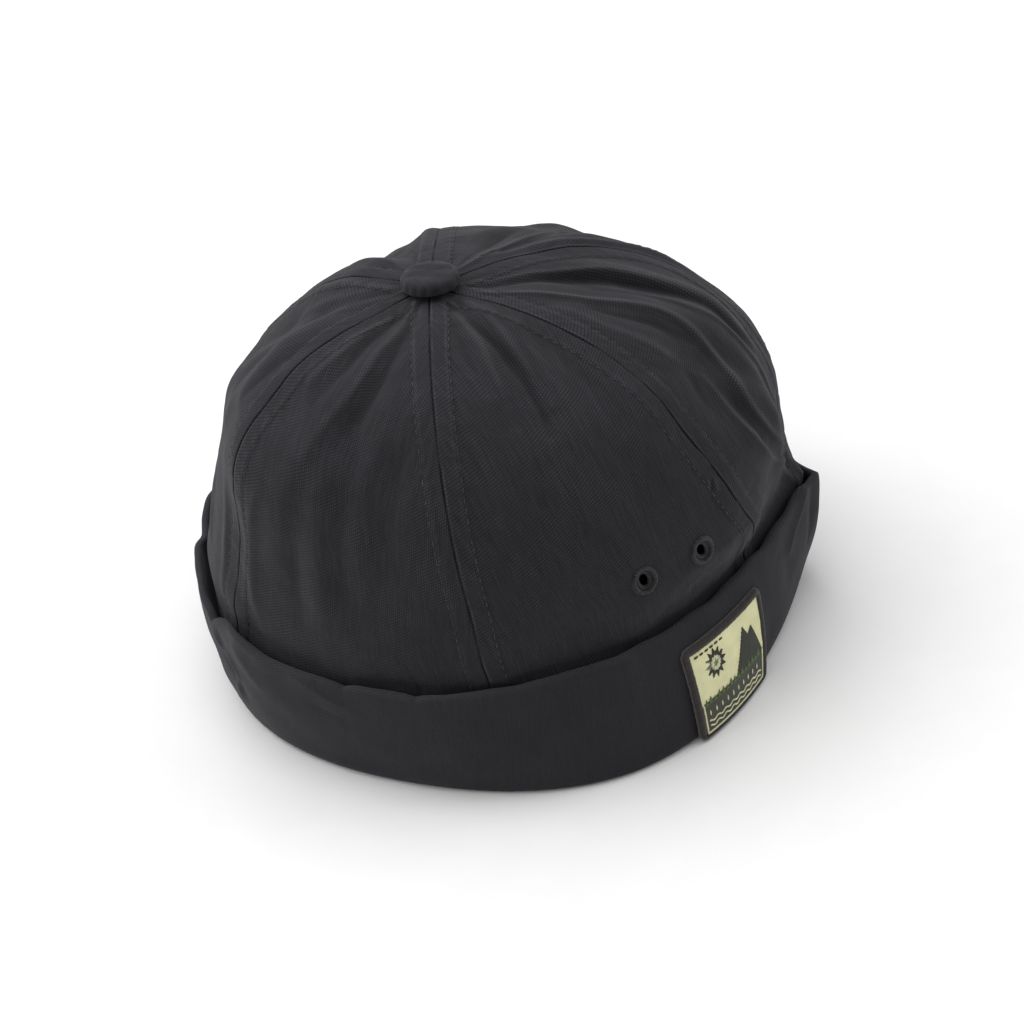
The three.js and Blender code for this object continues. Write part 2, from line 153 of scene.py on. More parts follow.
@dataclass(frozen=True)
class Unevenness:
    """Soft random relief, a sum of seeded waves of about one length.

    Attributes:
        seed: Where the random draw starts.
        length: The waves' usual length.
        height: The usual height of the relief.
        waves: How many waves there are.
    """

    seed: int
    length: float
    height: float
    waves: int = 26

    def over(self, places: Array) -> Array:
        """Returns the relief at each place."""
        draw = np.random.default_rng(self.seed)
        headings = unit(draw.normal(size=(self.waves, places.shape[-1])))
        lengths = self.length * draw.uniform(0.7, 1.5, self.waves)
        phases = draw.uniform(0.0, 2 * math.pi, self.waves)
        total = np.zeros(places.shape[:-1])
        for heading, length, phase in zip(headings, lengths, phases, strict=True):
            total += np.sin(places @ heading * (2 * math.pi / length) + phase)
        return self.height * total / math.sqrt(self.waves / 2)


@dataclass(frozen=True)
class Plan:
    """The plan of the cap at the cuff's fold, a slightly pointed oval."""

    half_length: float = 101.0
    half_width: float = 95.0
    power: float = 1.95

    def oval(self, at: Array, half_length: float, half_width: float) -> Array:
        """Returns points of the plan's oval with another half length and half width."""
        x, y = np.cos(np.radians(at)), np.sin(np.radians(at))
        exponent = 2 / self.power
        across = half_length * np.sign(x) * np.abs(x) ** exponent
        return np.stack([across, half_width * np.sign(y) * np.abs(y) ** exponent], -1)

    def outward(self, at: Array) -> Array:
        """Returns the direction that leads straight out of the plan."""
        return unit(self.oval(at, self.half_length, self.half_width))

    def point(self, at: Array, out: Array, height: Array) -> Array:
        """Places points outside the plan.

        Args:
            at: Angles round the plan.
            out: Distances outside the plan.
            height: Heights above the table.

        Returns:
            The points in space.
        """
        flat = self.oval(at, self.half_length, self.half_width)
        flat = flat + self.outward(at) * np.asarray(out)[..., None]
        height = np.broadcast_to(height, flat.shape[:-1])
        return np.concatenate([flat, height[..., None]], -1)


@dataclass(frozen=True)
class CuffStation:
    """The cuff at one angle.

    Attributes:
        at: The angle.
        base: How far the fold stands outside the plan.
        rim: How far the rim stands outside the plan.
        up: How far the rim is above its usual height.
        gap: The groove between the rim and the crown.
    """

    at: float
    base: float
    rim: float
    up: float
    gap: float


CUFF_STATIONS = (
    CuffStation(at=0, base=-0.3, rim=-6.2, up=-1.5, gap=1.9),
    CuffStation(at=45, base=1, rim=-4, up=-2, gap=2.5),
    CuffStation(at=90, base=-1, rim=-1.2, up=0, gap=2.6),
    CuffStation(at=135, base=0.3, rim=7.5, up=1, gap=2.8),
    CuffStation(at=180, base=0.8, rim=4.8, up=1.2, gap=3.2),
    CuffStation(at=225, base=-4, rim=-0.7, up=-0.3, gap=2.5),
    CuffStation(at=270, base=1.6, rim=-7.2, up=1, gap=2),
    CuffStation(at=315, base=-5.2, rim=-9, up=-0.3, gap=2.8),
)


@dataclass(frozen=True)
class Nick:
    """A small dip or point of the cuff's rim.

    Attributes:
        at: Its angle.
        spread: How far it reaches to each side, in degrees.
        out: How far it moves the rim out.
        up: How far it lifts the rim.
        sharp: Whether it comes to a point.
    """

    at: float
    spread: float
    out: float
    up: float
    sharp: bool = False

    def share(self, at: Array) -> Array:
        """Returns how much of it there is at each angle."""
        away = np.abs(turn(at, self.at)) / self.spread
        return np.exp(-(away ** (1 if self.sharp else 2)))


NICKS = (
    Nick(at=177.5, spread=3.2, out=0.4, up=-6.2, sharp=True),
    Nick(at=187, spread=6, out=0, up=1.8),
    Nick(at=152, spread=3.5, out=-1.5, up=-3),
    Nick(at=-10, spread=5, out=-2, up=-3),
    Nick(at=-130.5, spread=1.3, out=-0.3, up=-1.5, sharp=True),
    Nick(at=-145, spread=1.6, out=-0.3, up=-1.9, sharp=True),
    Nick(at=-86, spread=2.2, out=-0.4, up=-0.7),
    Nick(at=96, spread=2.6, out=-0.6, up=-0.9),
    Nick(at=44, spread=2, out=-0.4, up=-0.7),
)


@dataclass(frozen=True)
class Corner:
    """The sharp corner that the folded cap keeps at its front."""

    at: float = -22.0
    spread: float = 11.0
    out: float = 14.2
    up: float = 2.6
    rise: float = 0.64
    crown_share: float = 0.92
    tongue: float = 0.84

    def share(self, at: Array) -> Array:
        """Returns how much of the corner there is at each angle."""
        return np.exp(-np.abs(turn(at, self.at)) / self.spread)


@dataclass(frozen=True)
class CuffForm:
    """The shape of the turned-up cuff and of the groove inside it."""

    plan: Plan = Plan()
    corner: Corner = Corner()
    height: float = 42.0
    wall: float = 2.6
    belly: float = 1.6
    rim_round: float = 1.2
    rim_bevel: float = 0.7
    inner_wall: float = 1.4
    inner_top: float = 13.7
    floor: float = 3.0
    fold_height: float = 4.5
    outer_tuck: float = 2.0
    inner_tuck: float = 0.6
    groove_foot: float = 0.35

    def station(self, column: str, at: Array) -> Array:
        """Reads a column of the stations on a smooth closed curve.

        Args:
            column: The name of the column.
            at: Angles round the plan.

        Returns:
            The column's value at each angle.
        """
        values = np.array([getattr(row, column) for row in CUFF_STATIONS], float)
        place = np.asarray(at, float) % 360.0 / 360.0 * len(values)
        index = np.floor(place).astype(int)
        f = place - index
        before, here, after, beyond = (values[(index + step) % len(values)] for step in (-1, 0, 1, 2))
        bend = 2 * before - 5 * here + 4 * after - beyond
        twist = 3 * here - before - 3 * after + beyond
        return here + 0.5 * f * (after - before + f * (bend + f * twist))

    def nicks(self, column: str, at: Array) -> Array:
        """Returns what the nicks add to the rim's out or up."""
        return sum(getattr(nick, column) * nick.share(at) for nick in NICKS)

    def rim_height(self, at: Array) -> Array:
        """Returns the height of the rim at each angle."""
        corner = self.corner.up * self.corner.share(at)
        return self.height + self.station("up", at) + corner + self.nicks("up", at)

    def tuck(self, height: Array, most: float) -> Array:
        """Returns how far the rounded fold draws in at a height."""
        below = np.clip(1 - np.asarray(height) / self.fold_height, 0.0, 1.0)
        return most * (1 - np.sqrt(1 - below**2))

    def out(self, at: Array, height: Array) -> Array:
        """Returns how far the outer face stands outside the plan."""
        share = np.clip(height / self.rim_height(at), 0.0, 1.0)
        leaning = self.station("base", at) * (1 - share) + self.station("rim", at) * share
        crease = (self.corner.out * self.corner.share(at) + self.nicks("out", at)) * share**self.corner.rise
        return leaning + crease + self.belly * np.sin(math.pi * share) - self.tuck(height, self.outer_tuck)

    def groove_out(self, at: Array, height: Array) -> Array:
        """Returns how far the crown's foot, inside the cuff, is outside the plan."""
        rim = self.rim_height(at)
        height = np.minimum(height, rim)
        share = np.clip(height / rim, 0.0, 1.0)
        corner = self.corner.out * self.corner.share(at) * share**self.corner.rise * self.corner.crown_share
        groove = self.station("gap", at) * (self.groove_foot + (1 - self.groove_foot) * share)
        return self.out(at, np.maximum(height, self.fold_height)) - corner - self.wall - groove


@dataclass(frozen=True)
class Swell:
    """A full or hollow place of the soft crown.

    Attributes:
        at: The angle of its middle.
        height: The height of its middle.
        wide: How far it reaches round the cap, in degrees.
        tall: How far it reaches up and down.
        out: How far it stands out, below zero for a hollow.
    """

    at: float
    height: float
    wide: float
    tall: float
    out: float


SWELLS = (
    Swell(at=-40, height=100, wide=24, tall=24, out=2.5),
    Swell(at=-42, height=57, wide=13, tall=11, out=-0.6),
    Swell(at=142, height=126, wide=30, tall=16, out=-6),
    Swell(at=-176, height=108, wide=30, tall=16, out=3.3),
    Swell(at=178, height=76, wide=36, tall=16, out=-2),
    Swell(at=2, height=80, wide=24, tall=15, out=-4.9),
    Swell(at=-8, height=114, wide=20, tall=12, out=3),
    Swell(at=50, height=128, wide=28, tall=12, out=-4.6),
    Swell(at=96, height=126, wide=20, tall=11, out=-6),
    Swell(at=-14, height=96, wide=14, tall=12, out=2.2),
    Swell(at=-22, height=64, wide=22, tall=12, out=-3.4),
    Swell(at=164, height=96, wide=16, tall=14, out=-2.5),
    Swell(at=8, height=108, wide=20, tall=11, out=-3.1),
    Swell(at=132, height=104, wide=14, tall=12, out=0.3),
    Swell(at=160, height=58, wide=22, tall=16, out=2.5),
    Swell(at=44, height=117, wide=9, tall=10, out=-2.4),
    Swell(at=70, height=121, wide=9, tall=9, out=2.4),
)


@dataclass(frozen=True)
class Fold:
    """A broad fold that runs down from an angle at its top latitude to an angle at its foot latitude."""

    start: float
    top: float
    end: float
    foot: float
    wide: float
    out: float


FOLDS = (
    Fold(start=-14, top=84, end=-23, foot=44, wide=6, out=-2.6),
    Fold(start=-6, top=80, end=-30, foot=20, wide=6, out=2.2),
    Fold(start=-26, top=66, end=-39, foot=8, wide=6, out=2),
    Fold(start=-46, top=44, end=-30, foot=-6, wide=6, out=2),
    Fold(start=-37, top=60, end=-50, foot=20, wide=6, out=-1.6),
    Fold(start=-86, top=80, end=-84, foot=52, wide=5, out=-1.4),
    Fold(start=-100, top=78, end=-98, foot=50, wide=5, out=1.2),
    Fold(start=-138, top=78, end=-142, foot=40, wide=6, out=-1.6),
    Fold(start=-150, top=70, end=-158, foot=16, wide=7, out=1.6),
    Fold(start=-132, top=50, end=-138, foot=4, wide=7, out=-1.6),
    Fold(start=168, top=76, end=172, foot=40, wide=7, out=2),
    Fold(start=148, top=74, end=146, foot=34, wide=8, out=-2.4),
    Fold(start=94, top=76, end=96, foot=30, wide=7, out=-2),
    Fold(start=80, top=70, end=78, foot=14, wide=7, out=1.6),
    Fold(start=34, top=78, end=30, foot=24, wide=7, out=-2.2),
    Fold(start=46, top=66, end=44, foot=10, wide=7, out=1.6),
)


@dataclass(frozen=True)
class CrownForm:
    """The crown's outer face: a superellipse that leans to the back, over a foot inside the cuff."""

    cuff: CuffForm = CuffForm()
    half_length: float = 99.0
    half_width: float = 86.0
    belly: float = 50.0
    top: float = 139.5
    lower_edge: float = 14.0
    power: float = 2.4
    lean_x: float = -14.0
    lean_y: float = -1.0
    forward: float = 7.8
    forward_power: float = 0.7
    blend_below: float = 4.0
    blend_height: float = 24.0
    tongue_reach: float = 15.0
    tongue_power: float = 1.4
    eye_x: float = -1.7
    eye_y: float = 0.8
    eye_reach: float = 19.0
    lowest: float = -30.0
    highest: float = 89.2
    highest_normal: float = 88.2
    normal_step: float = 0.4

    def height(self, latitude: Array) -> Array:
        """Returns the height of a latitude."""
        low = self.belly + (self.belly - self.lower_edge) * latitude / -self.lowest
        sine = np.sin(np.radians(np.maximum(latitude, 0.0)))
        return np.where(latitude <= 0, low, self.belly + (self.top - self.belly) * sine ** (2 / self.power))

    def width(self, latitude: Array) -> Array:
        """Returns how wide the crown is at a latitude, as a share of its belly."""
        return np.cos(np.radians(np.maximum(latitude, 0.0))) ** (2 / self.power)

    def latitude(self, height: float) -> float:
        """Returns the latitude of a height above the belly."""
        return math.degrees(math.asin(((height - self.belly) / (self.top - self.belly)) ** (self.power / 2)))

    def plain(self, at: Array, latitude: Array) -> Array:
        """Returns points of the outer face before its folds."""
        at, latitude = np.broadcast_arrays(np.asarray(at, float), np.asarray(latitude, float))
        height = self.height(latitude)
        plan = self.cuff.plan
        up = np.clip((height - self.belly) / (self.top - self.belly), 0.0, 1.0)
        free = plan.oval(at, self.half_length, self.half_width) * self.width(latitude)[..., None]
        eye = bell(np.linalg.norm(free, axis=-1) / self.eye_reach)
        forward = self.forward * up**self.forward_power * (1 - up)
        free[..., 0] += self.lean_x * up**2 + forward + self.eye_x * eye
        free[..., 1] += self.lean_y * up**2 + self.eye_y * eye
        swell = sum(
            row.out * np.exp(-((turn(at, row.at) / row.wide) ** 2) - ((height - row.height) / row.tall) ** 2)
            for row in SWELLS
        )
        free += plan.outward(at) * swell[..., None]
        foot = plan.point(at, self.cuff.groove_out(at, height), height)[..., :2]
        share = smooth_step((height - self.cuff.rim_height(at) + self.blend_below) / self.blend_height)
        flat = foot + (free - foot) * share[..., None]
        flat += plan.outward(at) * self.tongue(at, height)[..., None]
        return np.concatenate([flat, height[..., None]], -1)

    def tongue(self, at: Array, height: Array) -> Array:
        """Returns how far the crown is drawn into the cuff's corner."""
        corner = self.cuff.corner
        rim = self.cuff.rim_height(at)
        fading = np.clip(1 - (height - rim) / self.tongue_reach, 0.0, 1.0) ** self.tongue_power
        share = np.clip(height / rim, 0.0, 1.0) ** corner.rise
        return corner.out * corner.tongue * corner.share(at) * share * fading

    def normal(self, surface: Callable[[Array, Array], Array], at: Array, latitude: Array) -> Array:
        """Finds the outward direction of a surface.

        Args:
            surface: Gives the surface's points from angles and latitudes.
            at: The angles.
            latitude: The latitudes.

        Returns:
            One direction for each place.
        """
        step = self.normal_step
        latitude = np.minimum(latitude, self.highest_normal)
        around = surface(at + step, latitude) - surface(at - step, latitude)
        up = surface(at, latitude + step) - surface(at, latitude - step)
        return unit(np.cross(around, up))

    def fold_out(self, at: Array, latitude: Array) -> Array:
        """Returns how far the broad folds push the cloth out."""
        plan = self.cuff.plan
        reach = 0.5 * (plan.half_length + plan.half_width) * self.width(latitude)
        total = np.zeros(np.broadcast_shapes(np.shape(at), np.shape(latitude)))
        for fold in FOLDS:
            along = (fold.top - latitude) / (fold.top - fold.foot)
            across = np.radians(turn(at, fold.start + turn(fold.end, fold.start) * along)) * reach
            total += fold.out * np.sin(math.pi * np.clip(along, 0.0, 1.0)) * bell(across / fold.wide)
        return total

    def folded(self, at: Array, latitude: Array) -> Array:
        """Returns points of the outer face with its broad folds."""
        at, latitude = np.broadcast_arrays(np.asarray(at, float), np.asarray(latitude, float))
        out = self.fold_out(at, latitude)[..., None]
        return self.plain(at, latitude) + self.normal(self.plain, at, latitude) * out


@dataclass(frozen=True)
class Seam:
    """A seam between two panels.

    Attributes:
        name: Its name.
        tight: How tightly it is sewn, from 0 to 1.
        places: Pairs of a height and the seam's angle there.
        reach: How far along its corners are eased.
    """

    name: str
    tight: float
    places: Pairs
    reach: float = 9.0

    def at(self, height: Array) -> Array:
        """Returns the seam's angle at each height."""
        heights, angles = np.array(self.places, float).T
        shifts = np.linspace(-self.reach, self.reach, 9)
        return sum(np.interp(height + shift, heights, angles) for shift in shifts) / len(shifts)


SEAMS = (
    Seam("back_right", 0.7, ((25, -177), (60, -174.4), (84, -173), (138, -173))),
    Seam("side_back_right", 0.9, (
        (44, -116.6), (55, -116.6), (68, -117.6), (88, -118.5), (104, -118.4), (122, -117.4),
        (136, -116.2),
    )),
    Seam("side_front_right", 0.38, (
        (44, -47.5), (54, -51.5), (64, -56.1), (71, -58.3), (86, -60.7), (98, -61.8), (112, -61.4),
        (122, -59.4), (132, -58.6),
    )),
    Seam("front", 0.6, (
        (40, -21), (90, -22.4), (102, -19), (111, -8.5), (119, -1), (125, 3.4), (131, 8.2), (138, 7.6),
    )),
    Seam("side_front_left", 0.7, (
        (25, 46), (45, 51), (64, 60), (84, 70), (104, 74.5), (127, 75.4), (134, 73.6), (138, 71.9),
    )),
    Seam("side_back_left", 0.7, ((25, 117), (50, 119), (84, 126), (138, 127))),
)
PANEL_NAMES = (
    "crown_back_right",
    "crown_side_right",
    "crown_front_right",
    "crown_front_left",
    "crown_side_left",
    "crown_back_left",
)


@dataclass(frozen=True)
class Crease:
    """A crisp fold line of the cloth.

    Attributes:
        panel: The name of its panel, or cuff.
        path: Pairs of an angle and a latitude that it passes, or a height on the cuff.
        rise: Its height, below zero for a valley.
        before: Its width on the side of the smaller angles.
        after: Its width on the side of the greater angles.
        crest: How blunt its crest is.
    """

    panel: str
    path: Pairs
    rise: float
    before: float
    after: float
    crest: float = 0.8

    def over(self, x: Array, y: Array, knots: Array) -> Array:
        """Returns the relief of the crease over a piece.

        Args:
            x: Each point's place across the piece.
            y: Its place up the piece.
            knots: The crease's path, across and up.

        Returns:
            The relief at each point.
        """
        lengths = run_along(knots)
        fine = np.linspace(0.0, lengths[-1], 36)
        line = pick_along(fine, lengths, knots)
        for _ in range(6):
            line[1:-1] = (line[:-2] + line[1:-1] * 2 + line[2:]) / 4
        nearest = np.full(x.shape, 1e9)
        side = np.zeros(x.shape)
        share = np.zeros(x.shape)
        for index, (first, second) in enumerate(zip(line[:-1], line[1:], strict=True)):
            step = second - first
            right, up = x - first[0], y - first[1]
            place = np.clip((right * step[0] + up * step[1]) / (step @ step), 0.0, 1.0)
            away = np.hypot(right - place * step[0], up - place * step[1])
            closer = away < nearest
            nearest = np.where(closer, away, nearest)
            side = np.where(closer, right * -step[1] + up * step[0], side)
            share = np.where(closer, (index + place) / (len(line) - 1), share)
        wide = np.where(side > 0, self.after, self.before)
        blunt = np.hypot(nearest, self.crest) - self.crest
        fade = np.sin(math.pi * share) ** 0.6
        return self.rise * fade * np.exp(-((blunt / wide) ** 1.3))


# A row for each crease: its rise, its width before and after, how blunt its crest is, and its path.
CREASE_ROWS = {
    "crown_front_right": (
        (-1.9, 1.9, 1.6, 0.5, (
            (-32, 87), (-27, 83), (-20, 78), (-17.4, 74.5), (-16, 69), (-16.8, 63), (-19.6, 54),
            (-22, 45), (-25, 38), (-28, 30),
        )),
        (1.5, 1.3, 3.6, 0.3, (
            (-20, 84), (-14, 78), (-12, 71), (-11.7, 63.7), (-14.8, 57), (-18.6, 49), (-21, 45),
            (-23.4, 38), (-25, 30),
        )),
        (1.3, 1.3, 2.6, 0.2, (
            (-19.6, 66), (-21.6, 61), (-24.7, 54), (-27.2, 44.5), (-29.6, 35), (-30.9, 25), (-29, 14),
        )),
        (1.5, 1.4, 1.7, 0.15, (
            (-52, 87), (-49, 84), (-41, 77.4), (-35, 71), (-34.6, 64), (-34.6, 59.6), (-32.6, 56),
            (-30.8, 52.5), (-33, 49), (-35.4, 44.7), (-38, 39.6), (-42, 33.4), (-43.6, 27.5),
            (-43.2, 20.6), (-40.4, 14.5), (-34, 8.4), (-25.4, 2.6), (-21, -3), (-19, -10),
        )),
        (-1.2, 2.2, 2.0, 0.6, ((-40, 66), (-39.5, 59), (-38, 55), (-38, 48), (-38.5, 43))),
        (1.0, 3.4, 1.8, 0.6, ((-47.5, 72), (-47, 65.5), (-48.7, 60), (-48, 55), (-48, 48.4), (-46.6, 41))),
        (-1.2, 3.4, 3.0, 1.0, ((-47, 46), (-48.5, 40), (-50.4, 35.4), (-52, 28))),
        (-0.4, 1.5, 1.5, 0.4, ((-43, 38), (-45.6, 30), (-46, 24), (-44.4, 15), (-39, 8))),
        (1.6, 2.6, 1.3, 0.15, (
            (-44.5, 40), (-46.8, 34), (-48.2, 28), (-48, 23), (-46.4, 17.4), (-40.6, 9.2), (-32.4, 4.6),
            (-26.9, 0), (-23, -7), (-20, -14),
        )),
        (-1.2, 4.5, 4.5, 1.5, ((-31, 40), (-31.5, 30), (-31, 18), (-30, 10))),
    ),
    "crown_side_right": (
        (-1.1, 2.4, 2.2, 0.8, ((-94, 85), (-97, 82), (-100, 75), (-100, 66), (-99, 58))),
        (1.0, 2.4, 2.0, 0.8, ((-88, 83), (-90, 79), (-92, 72), (-94, 65), (-95, 56))),
        (-1.7, 2.0, 2.8, 0.7, (
            (-80, 86), (-82, 83), (-85, 76), (-83.5, 70), (-84, 64), (-86, 54), (-90, 44),
        )),
        (1.2, 2.2, 2.6, 0.8, ((-70, 84), (-74, 77), (-79, 69), (-82, 61.5), (-85, 50))),
        (1.0, 3.0, 3.2, 1.2, ((-69, 75), (-72, 69), (-77, 60), (-79, 54), (-81, 44), (-84, 32))),
        (-1.1, 3.0, 3.2, 1.2, ((-70, 72), (-68.5, 65), (-68.5, 58), (-71, 49), (-74, 38))),
        (-0.6, 3.0, 3.6, 1.5, ((-105, 64), (-107.4, 53.7), (-110.5, 39.4), (-112.8, 21))),
        (0.5, 5.0, 5.0, 2.0, ((-95, 58), (-99.7, 48), (-103.7, 34), (-106.5, 14))),
        (-0.6, 4.5, 4.5, 2.0, ((-89, 52), (-92, 44), (-95.6, 33.6), (-98, 17.7))),
        (-0.7, 0.5, 0.6, 0.1, ((-62.2, 20.4), (-62.8, 18.6), (-63.5, 17))),
        (0.35, 0.4, 0.6, 0.1, ((-61.4, 20.4), (-61.9, 18.6), (-62.6, 16.6))),
    ),
    "crown_back_right": (
        (-1.3, 2.4, 2.4, 0.8, (
            (-146, 85), (-150, 82), (-154, 78), (-154, 73), (-153, 67), (-154, 62), (-157, 54),
        )),
        (1.2, 2.4, 2.0, 0.7, ((-156, 82), (-159, 77), (-161, 73), (-161, 67), (-163, 58))),
        (1.3, 2.6, 2.8, 0.8, (
            (-136, 82), (-140, 77), (-145, 71), (-144, 65), (-146, 59), (-151, 48), (-153, 41),
        )),
        (-1.3, 2.6, 2.4, 0.8, ((-132, 82), (-135, 76), (-136, 69), (-138, 63), (-140, 56), (-144, 49))),
        (-1.4, 4.2, 4.2, 1.6, (
            (-146, 50), (-149.5, 42), (-153.5, 32), (-154.8, 20), (-154.4, 8), (-154, 0),
        )),
        (0.9, 3.6, 3.6, 1.6, ((-146, 46), (-147.5, 38), (-147.8, 26), (-148.6, 12), (-149, 3))),
        (-1.2, 3.8, 3.8, 1.6, ((-139, 52), (-140.7, 44), (-141.2, 33), (-142.6, 20), (-143.4, 6))),
        (0.8, 4.0, 4.0, 1.8, ((-133, 54), (-134.6, 47), (-136, 35), (-137.6, 20), (-138.2, 5))),
        (-0.7, 3.4, 3.4, 1.4, ((-127, 50), (-128.4, 43), (-130.2, 31), (-132.2, 16))),
        (1.3, 3.0, 2.6, 0.7, ((-163, 34), (-165.5, 27), (-168, 17), (-168.6, 8), (-167.4, 0))),
    ),
    "crown_back_left": (
        (-1.0, 2.4, 2.4, 0.8, ((-179, 66), (179, 62), (176, 54), (174, 44))),
        (1.1, 2.4, 2.0, 0.6, ((176, 22), (178.6, 13), (179.6, 5), (179, -3))),
        (0.9, 2.2, 2.2, 0.8, ((162, 16), (163, 11), (165, 6), (169, 2))),
        (0.9, 2.4, 2.4, 0.8, ((141, 84), (136, 77), (131.6, 69), (130, 58))),
        (0.9, 2.6, 2.6, 0.8, ((149, 79), (147, 72), (144.5, 66), (143, 56))),
        (-1.1, 3.0, 3.0, 1.0, ((154, 76), (155, 66), (157, 52), (160, 36))),
        (-0.9, 4.2, 4.2, 1.8, ((139, 60), (138, 48), (136, 32), (135, 14))),
    ),
    "crown_side_left": (
        (1.0, 2.4, 2.4, 0.8, ((93, 83), (97, 80), (104, 75), (108, 69), (110, 58))),
        (-1.1, 2.4, 2.6, 0.8, ((86, 84), (88, 76), (90, 66), (91, 52))),
        (1.0, 3.4, 3.4, 1.2, ((80, 74), (78, 62), (72, 44), (66, 26))),
        (-0.8, 4.4, 4.4, 1.8, ((102, 62), (100, 48), (97, 30), (96, 12))),
        (-0.8, 3.6, 3.6, 1.4, ((88, 58), (84, 44), (80, 28), (79, 16))),
    ),
    "crown_front_left": (
        (1.5, 1.3, 2.4, 0.3, (
            (28, 86), (26.8, 80.4), (26.4, 75), (27.4, 68), (31.5, 60), (37.4, 51), (41, 44),
        )),
        (-1.4, 2.0, 2.4, 0.6, ((38, 85), (39.3, 81), (40.2, 76), (42, 68), (44, 58))),
        (1.4, 3.0, 2.0, 0.5, ((18, 82), (15, 72), (8, 56), (-4, 36), (-12, 18))),
        (-1.3, 3.0, 3.0, 0.8, ((26, 78), (22, 66), (12, 46), (0, 26), (-8, 10))),
        (1.0, 3.4, 3.4, 1.2, ((54, 76), (52, 64), (44, 44), (34, 22))),
        (1.1, 3.4, 2.6, 0.7, ((36, 50), (28, 34), (16, 16), (6, 4))),
    ),
    "cuff": (
        (1.0, 2.4, 1.0, 0.2, ((-25.6, 46), (-26.4, 42), (-28.4, 37), (-34, 32.8), (-37, 27))),
        (-0.8, 1.4, 1.6, 0.5, ((-24.4, 44), (-24.8, 35), (-25.2, 26), (-27, 18))),
        (0.9, 1.5, 1.5, 0.3, (
            (-183, 33), (-179, 30.4), (-175, 28.6), (-173.4, 25), (-174.6, 18), (-176, 9),
        )),
        (-0.8, 2.2, 3.0, 0.8, ((-180, 38), (-178, 30), (-175, 23), (-172, 13))),
        (0.55, 2.6, 1.4, 0.4, ((-157, 41), (-153, 39), (-149, 35.6), (-145, 32.4), (-141, 30.6))),
        (-0.35, 1.6, 1.2, 0.4, ((-153, 31), (-150, 29), (-147, 27.6), (-144, 26.6))),
        (0.5, 2.4, 2.4, 1.0, ((-173, 39), (-170, 35), (-167.4, 31), (-165, 26))),
        (-0.4, 4.0, 4.0, 1.8, ((-122, 31), (-112, 27), (-101, 29), (-92, 34))),
        (-0.5, 3.4, 3.4, 1.5, ((-42, 36), (-38, 26), (-38, 14))),
        (-0.9, 3.0, 3.0, 1.0, ((-14, 40), (-10, 28), (-9, 14))),
        (0.6, 3.0, 3.6, 1.5, ((28, 36), (35, 26), (48, 20))),
        (-0.6, 3.4, 3.4, 1.5, ((72, 34), (84, 26), (98, 24))),
        (0.8, 2.4, 2.4, 0.7, ((118, 38), (124, 26), (126, 12))),
        (-0.7, 2.6, 2.6, 0.8, ((146, 40), (149, 28), (148, 14))),
    ),
}
CREASES = tuple(
    Crease(panel, path, rise, before, after, crest)
    for panel, rows in CREASE_ROWS.items()
    for rise, before, after, crest, path in rows
)


@dataclass(frozen=True)
class Place:
    """Where the cap's plan stands in the shared frame."""

    x: float
    y: float

    @classmethod
    def under_button(cls, crown: CrownForm) -> "Place":
        """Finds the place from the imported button, which the crown's leaning top carries."""
        low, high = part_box("top_button")
        middle = (low + high) / 2 / MM
        return cls(middle.x - crown.lean_x, middle.y - crown.lean_y)

    def metres(self, points: Array) -> Array:
        """Returns points of the plan in the shared frame, in metres."""
        return (points + np.array([self.x, self.y, 0.0])) * MM


@dataclass
class Draft:
    """Points, faces and attributes of one mesh in the making, in millimetres."""

    points: Array
    faces: list[Faces]
    vectors: dict[str, Array] = field(default_factory=dict)
    numbers: dict[str, Array] = field(default_factory=dict)

    @classmethod
    def joined(cls, drafts: Sequence["Draft"]) -> "Draft":
        """Joins several drafts that have the same attributes into one."""
        starts = np.cumsum([0] + [len(draft.points) for draft in drafts[:-1]])
        faces = [block + start for draft, start in zip(drafts, starts, strict=True) for block in draft.faces]
        vectors = {key: np.concatenate([draft.vectors[key] for draft in drafts]) for key in drafts[0].vectors}
        numbers = {key: np.concatenate([draft.numbers[key] for draft in drafts]) for key in drafts[0].numbers}
        return cls(np.concatenate([draft.points for draft in drafts]), faces, vectors, numbers)

    def trimmed(self) -> "Draft":
        """Returns the draft without the points that no face uses."""
        used = np.zeros(len(self.points), bool)
        for block in self.faces:
            used[block] = True
        number = np.cumsum(used) - 1
        vectors = {key: values[used] for key, values in self.vectors.items()}
        numbers = {key: values[used] for key, values in self.numbers.items()}
        return Draft(self.points[used], [number[block] for block in self.faces], vectors, numbers)

    def make(self, name: str, place: Place, material: Material) -> bpy.types.Object:
        """Makes the mesh and its object.

        Args:
            name: The piece's name.
            place: Where the cap's plan stands.
            material: The finish of all its faces.

        Returns:
            The new object, linked to the scene.
        """
        mesh = bpy.data.meshes.new(name)
        faces = [face for block in self.faces for face in block.tolist()]
        mesh.from_pydata(place.metres(self.points).tolist(), [], faces)
        for key, values in self.vectors.items():
            mesh.attributes.new(key, "FLOAT_VECTOR", "POINT").data.foreach_set("vector", values.ravel())
        for key, values in self.numbers.items():
            mesh.attributes.new(key, "FLOAT", "POINT").data.foreach_set("value", values.ravel())
        mesh.shade_smooth()
        mesh.materials.append(material)
        piece = bpy.data.objects.new(name, mesh)
        bpy.context.scene.collection.objects.link(piece)
        return piece


def seat(piece: bpy.types.Object, slot: Slot, *nodes: str) -> None:
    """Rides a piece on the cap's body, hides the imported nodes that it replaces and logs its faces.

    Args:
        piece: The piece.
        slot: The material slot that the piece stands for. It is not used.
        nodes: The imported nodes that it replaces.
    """
    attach(piece, BODY)
    if nodes:
        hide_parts(*nodes)
    LOG.info("%s: %d faces", piece.name, len(piece.data.polygons))


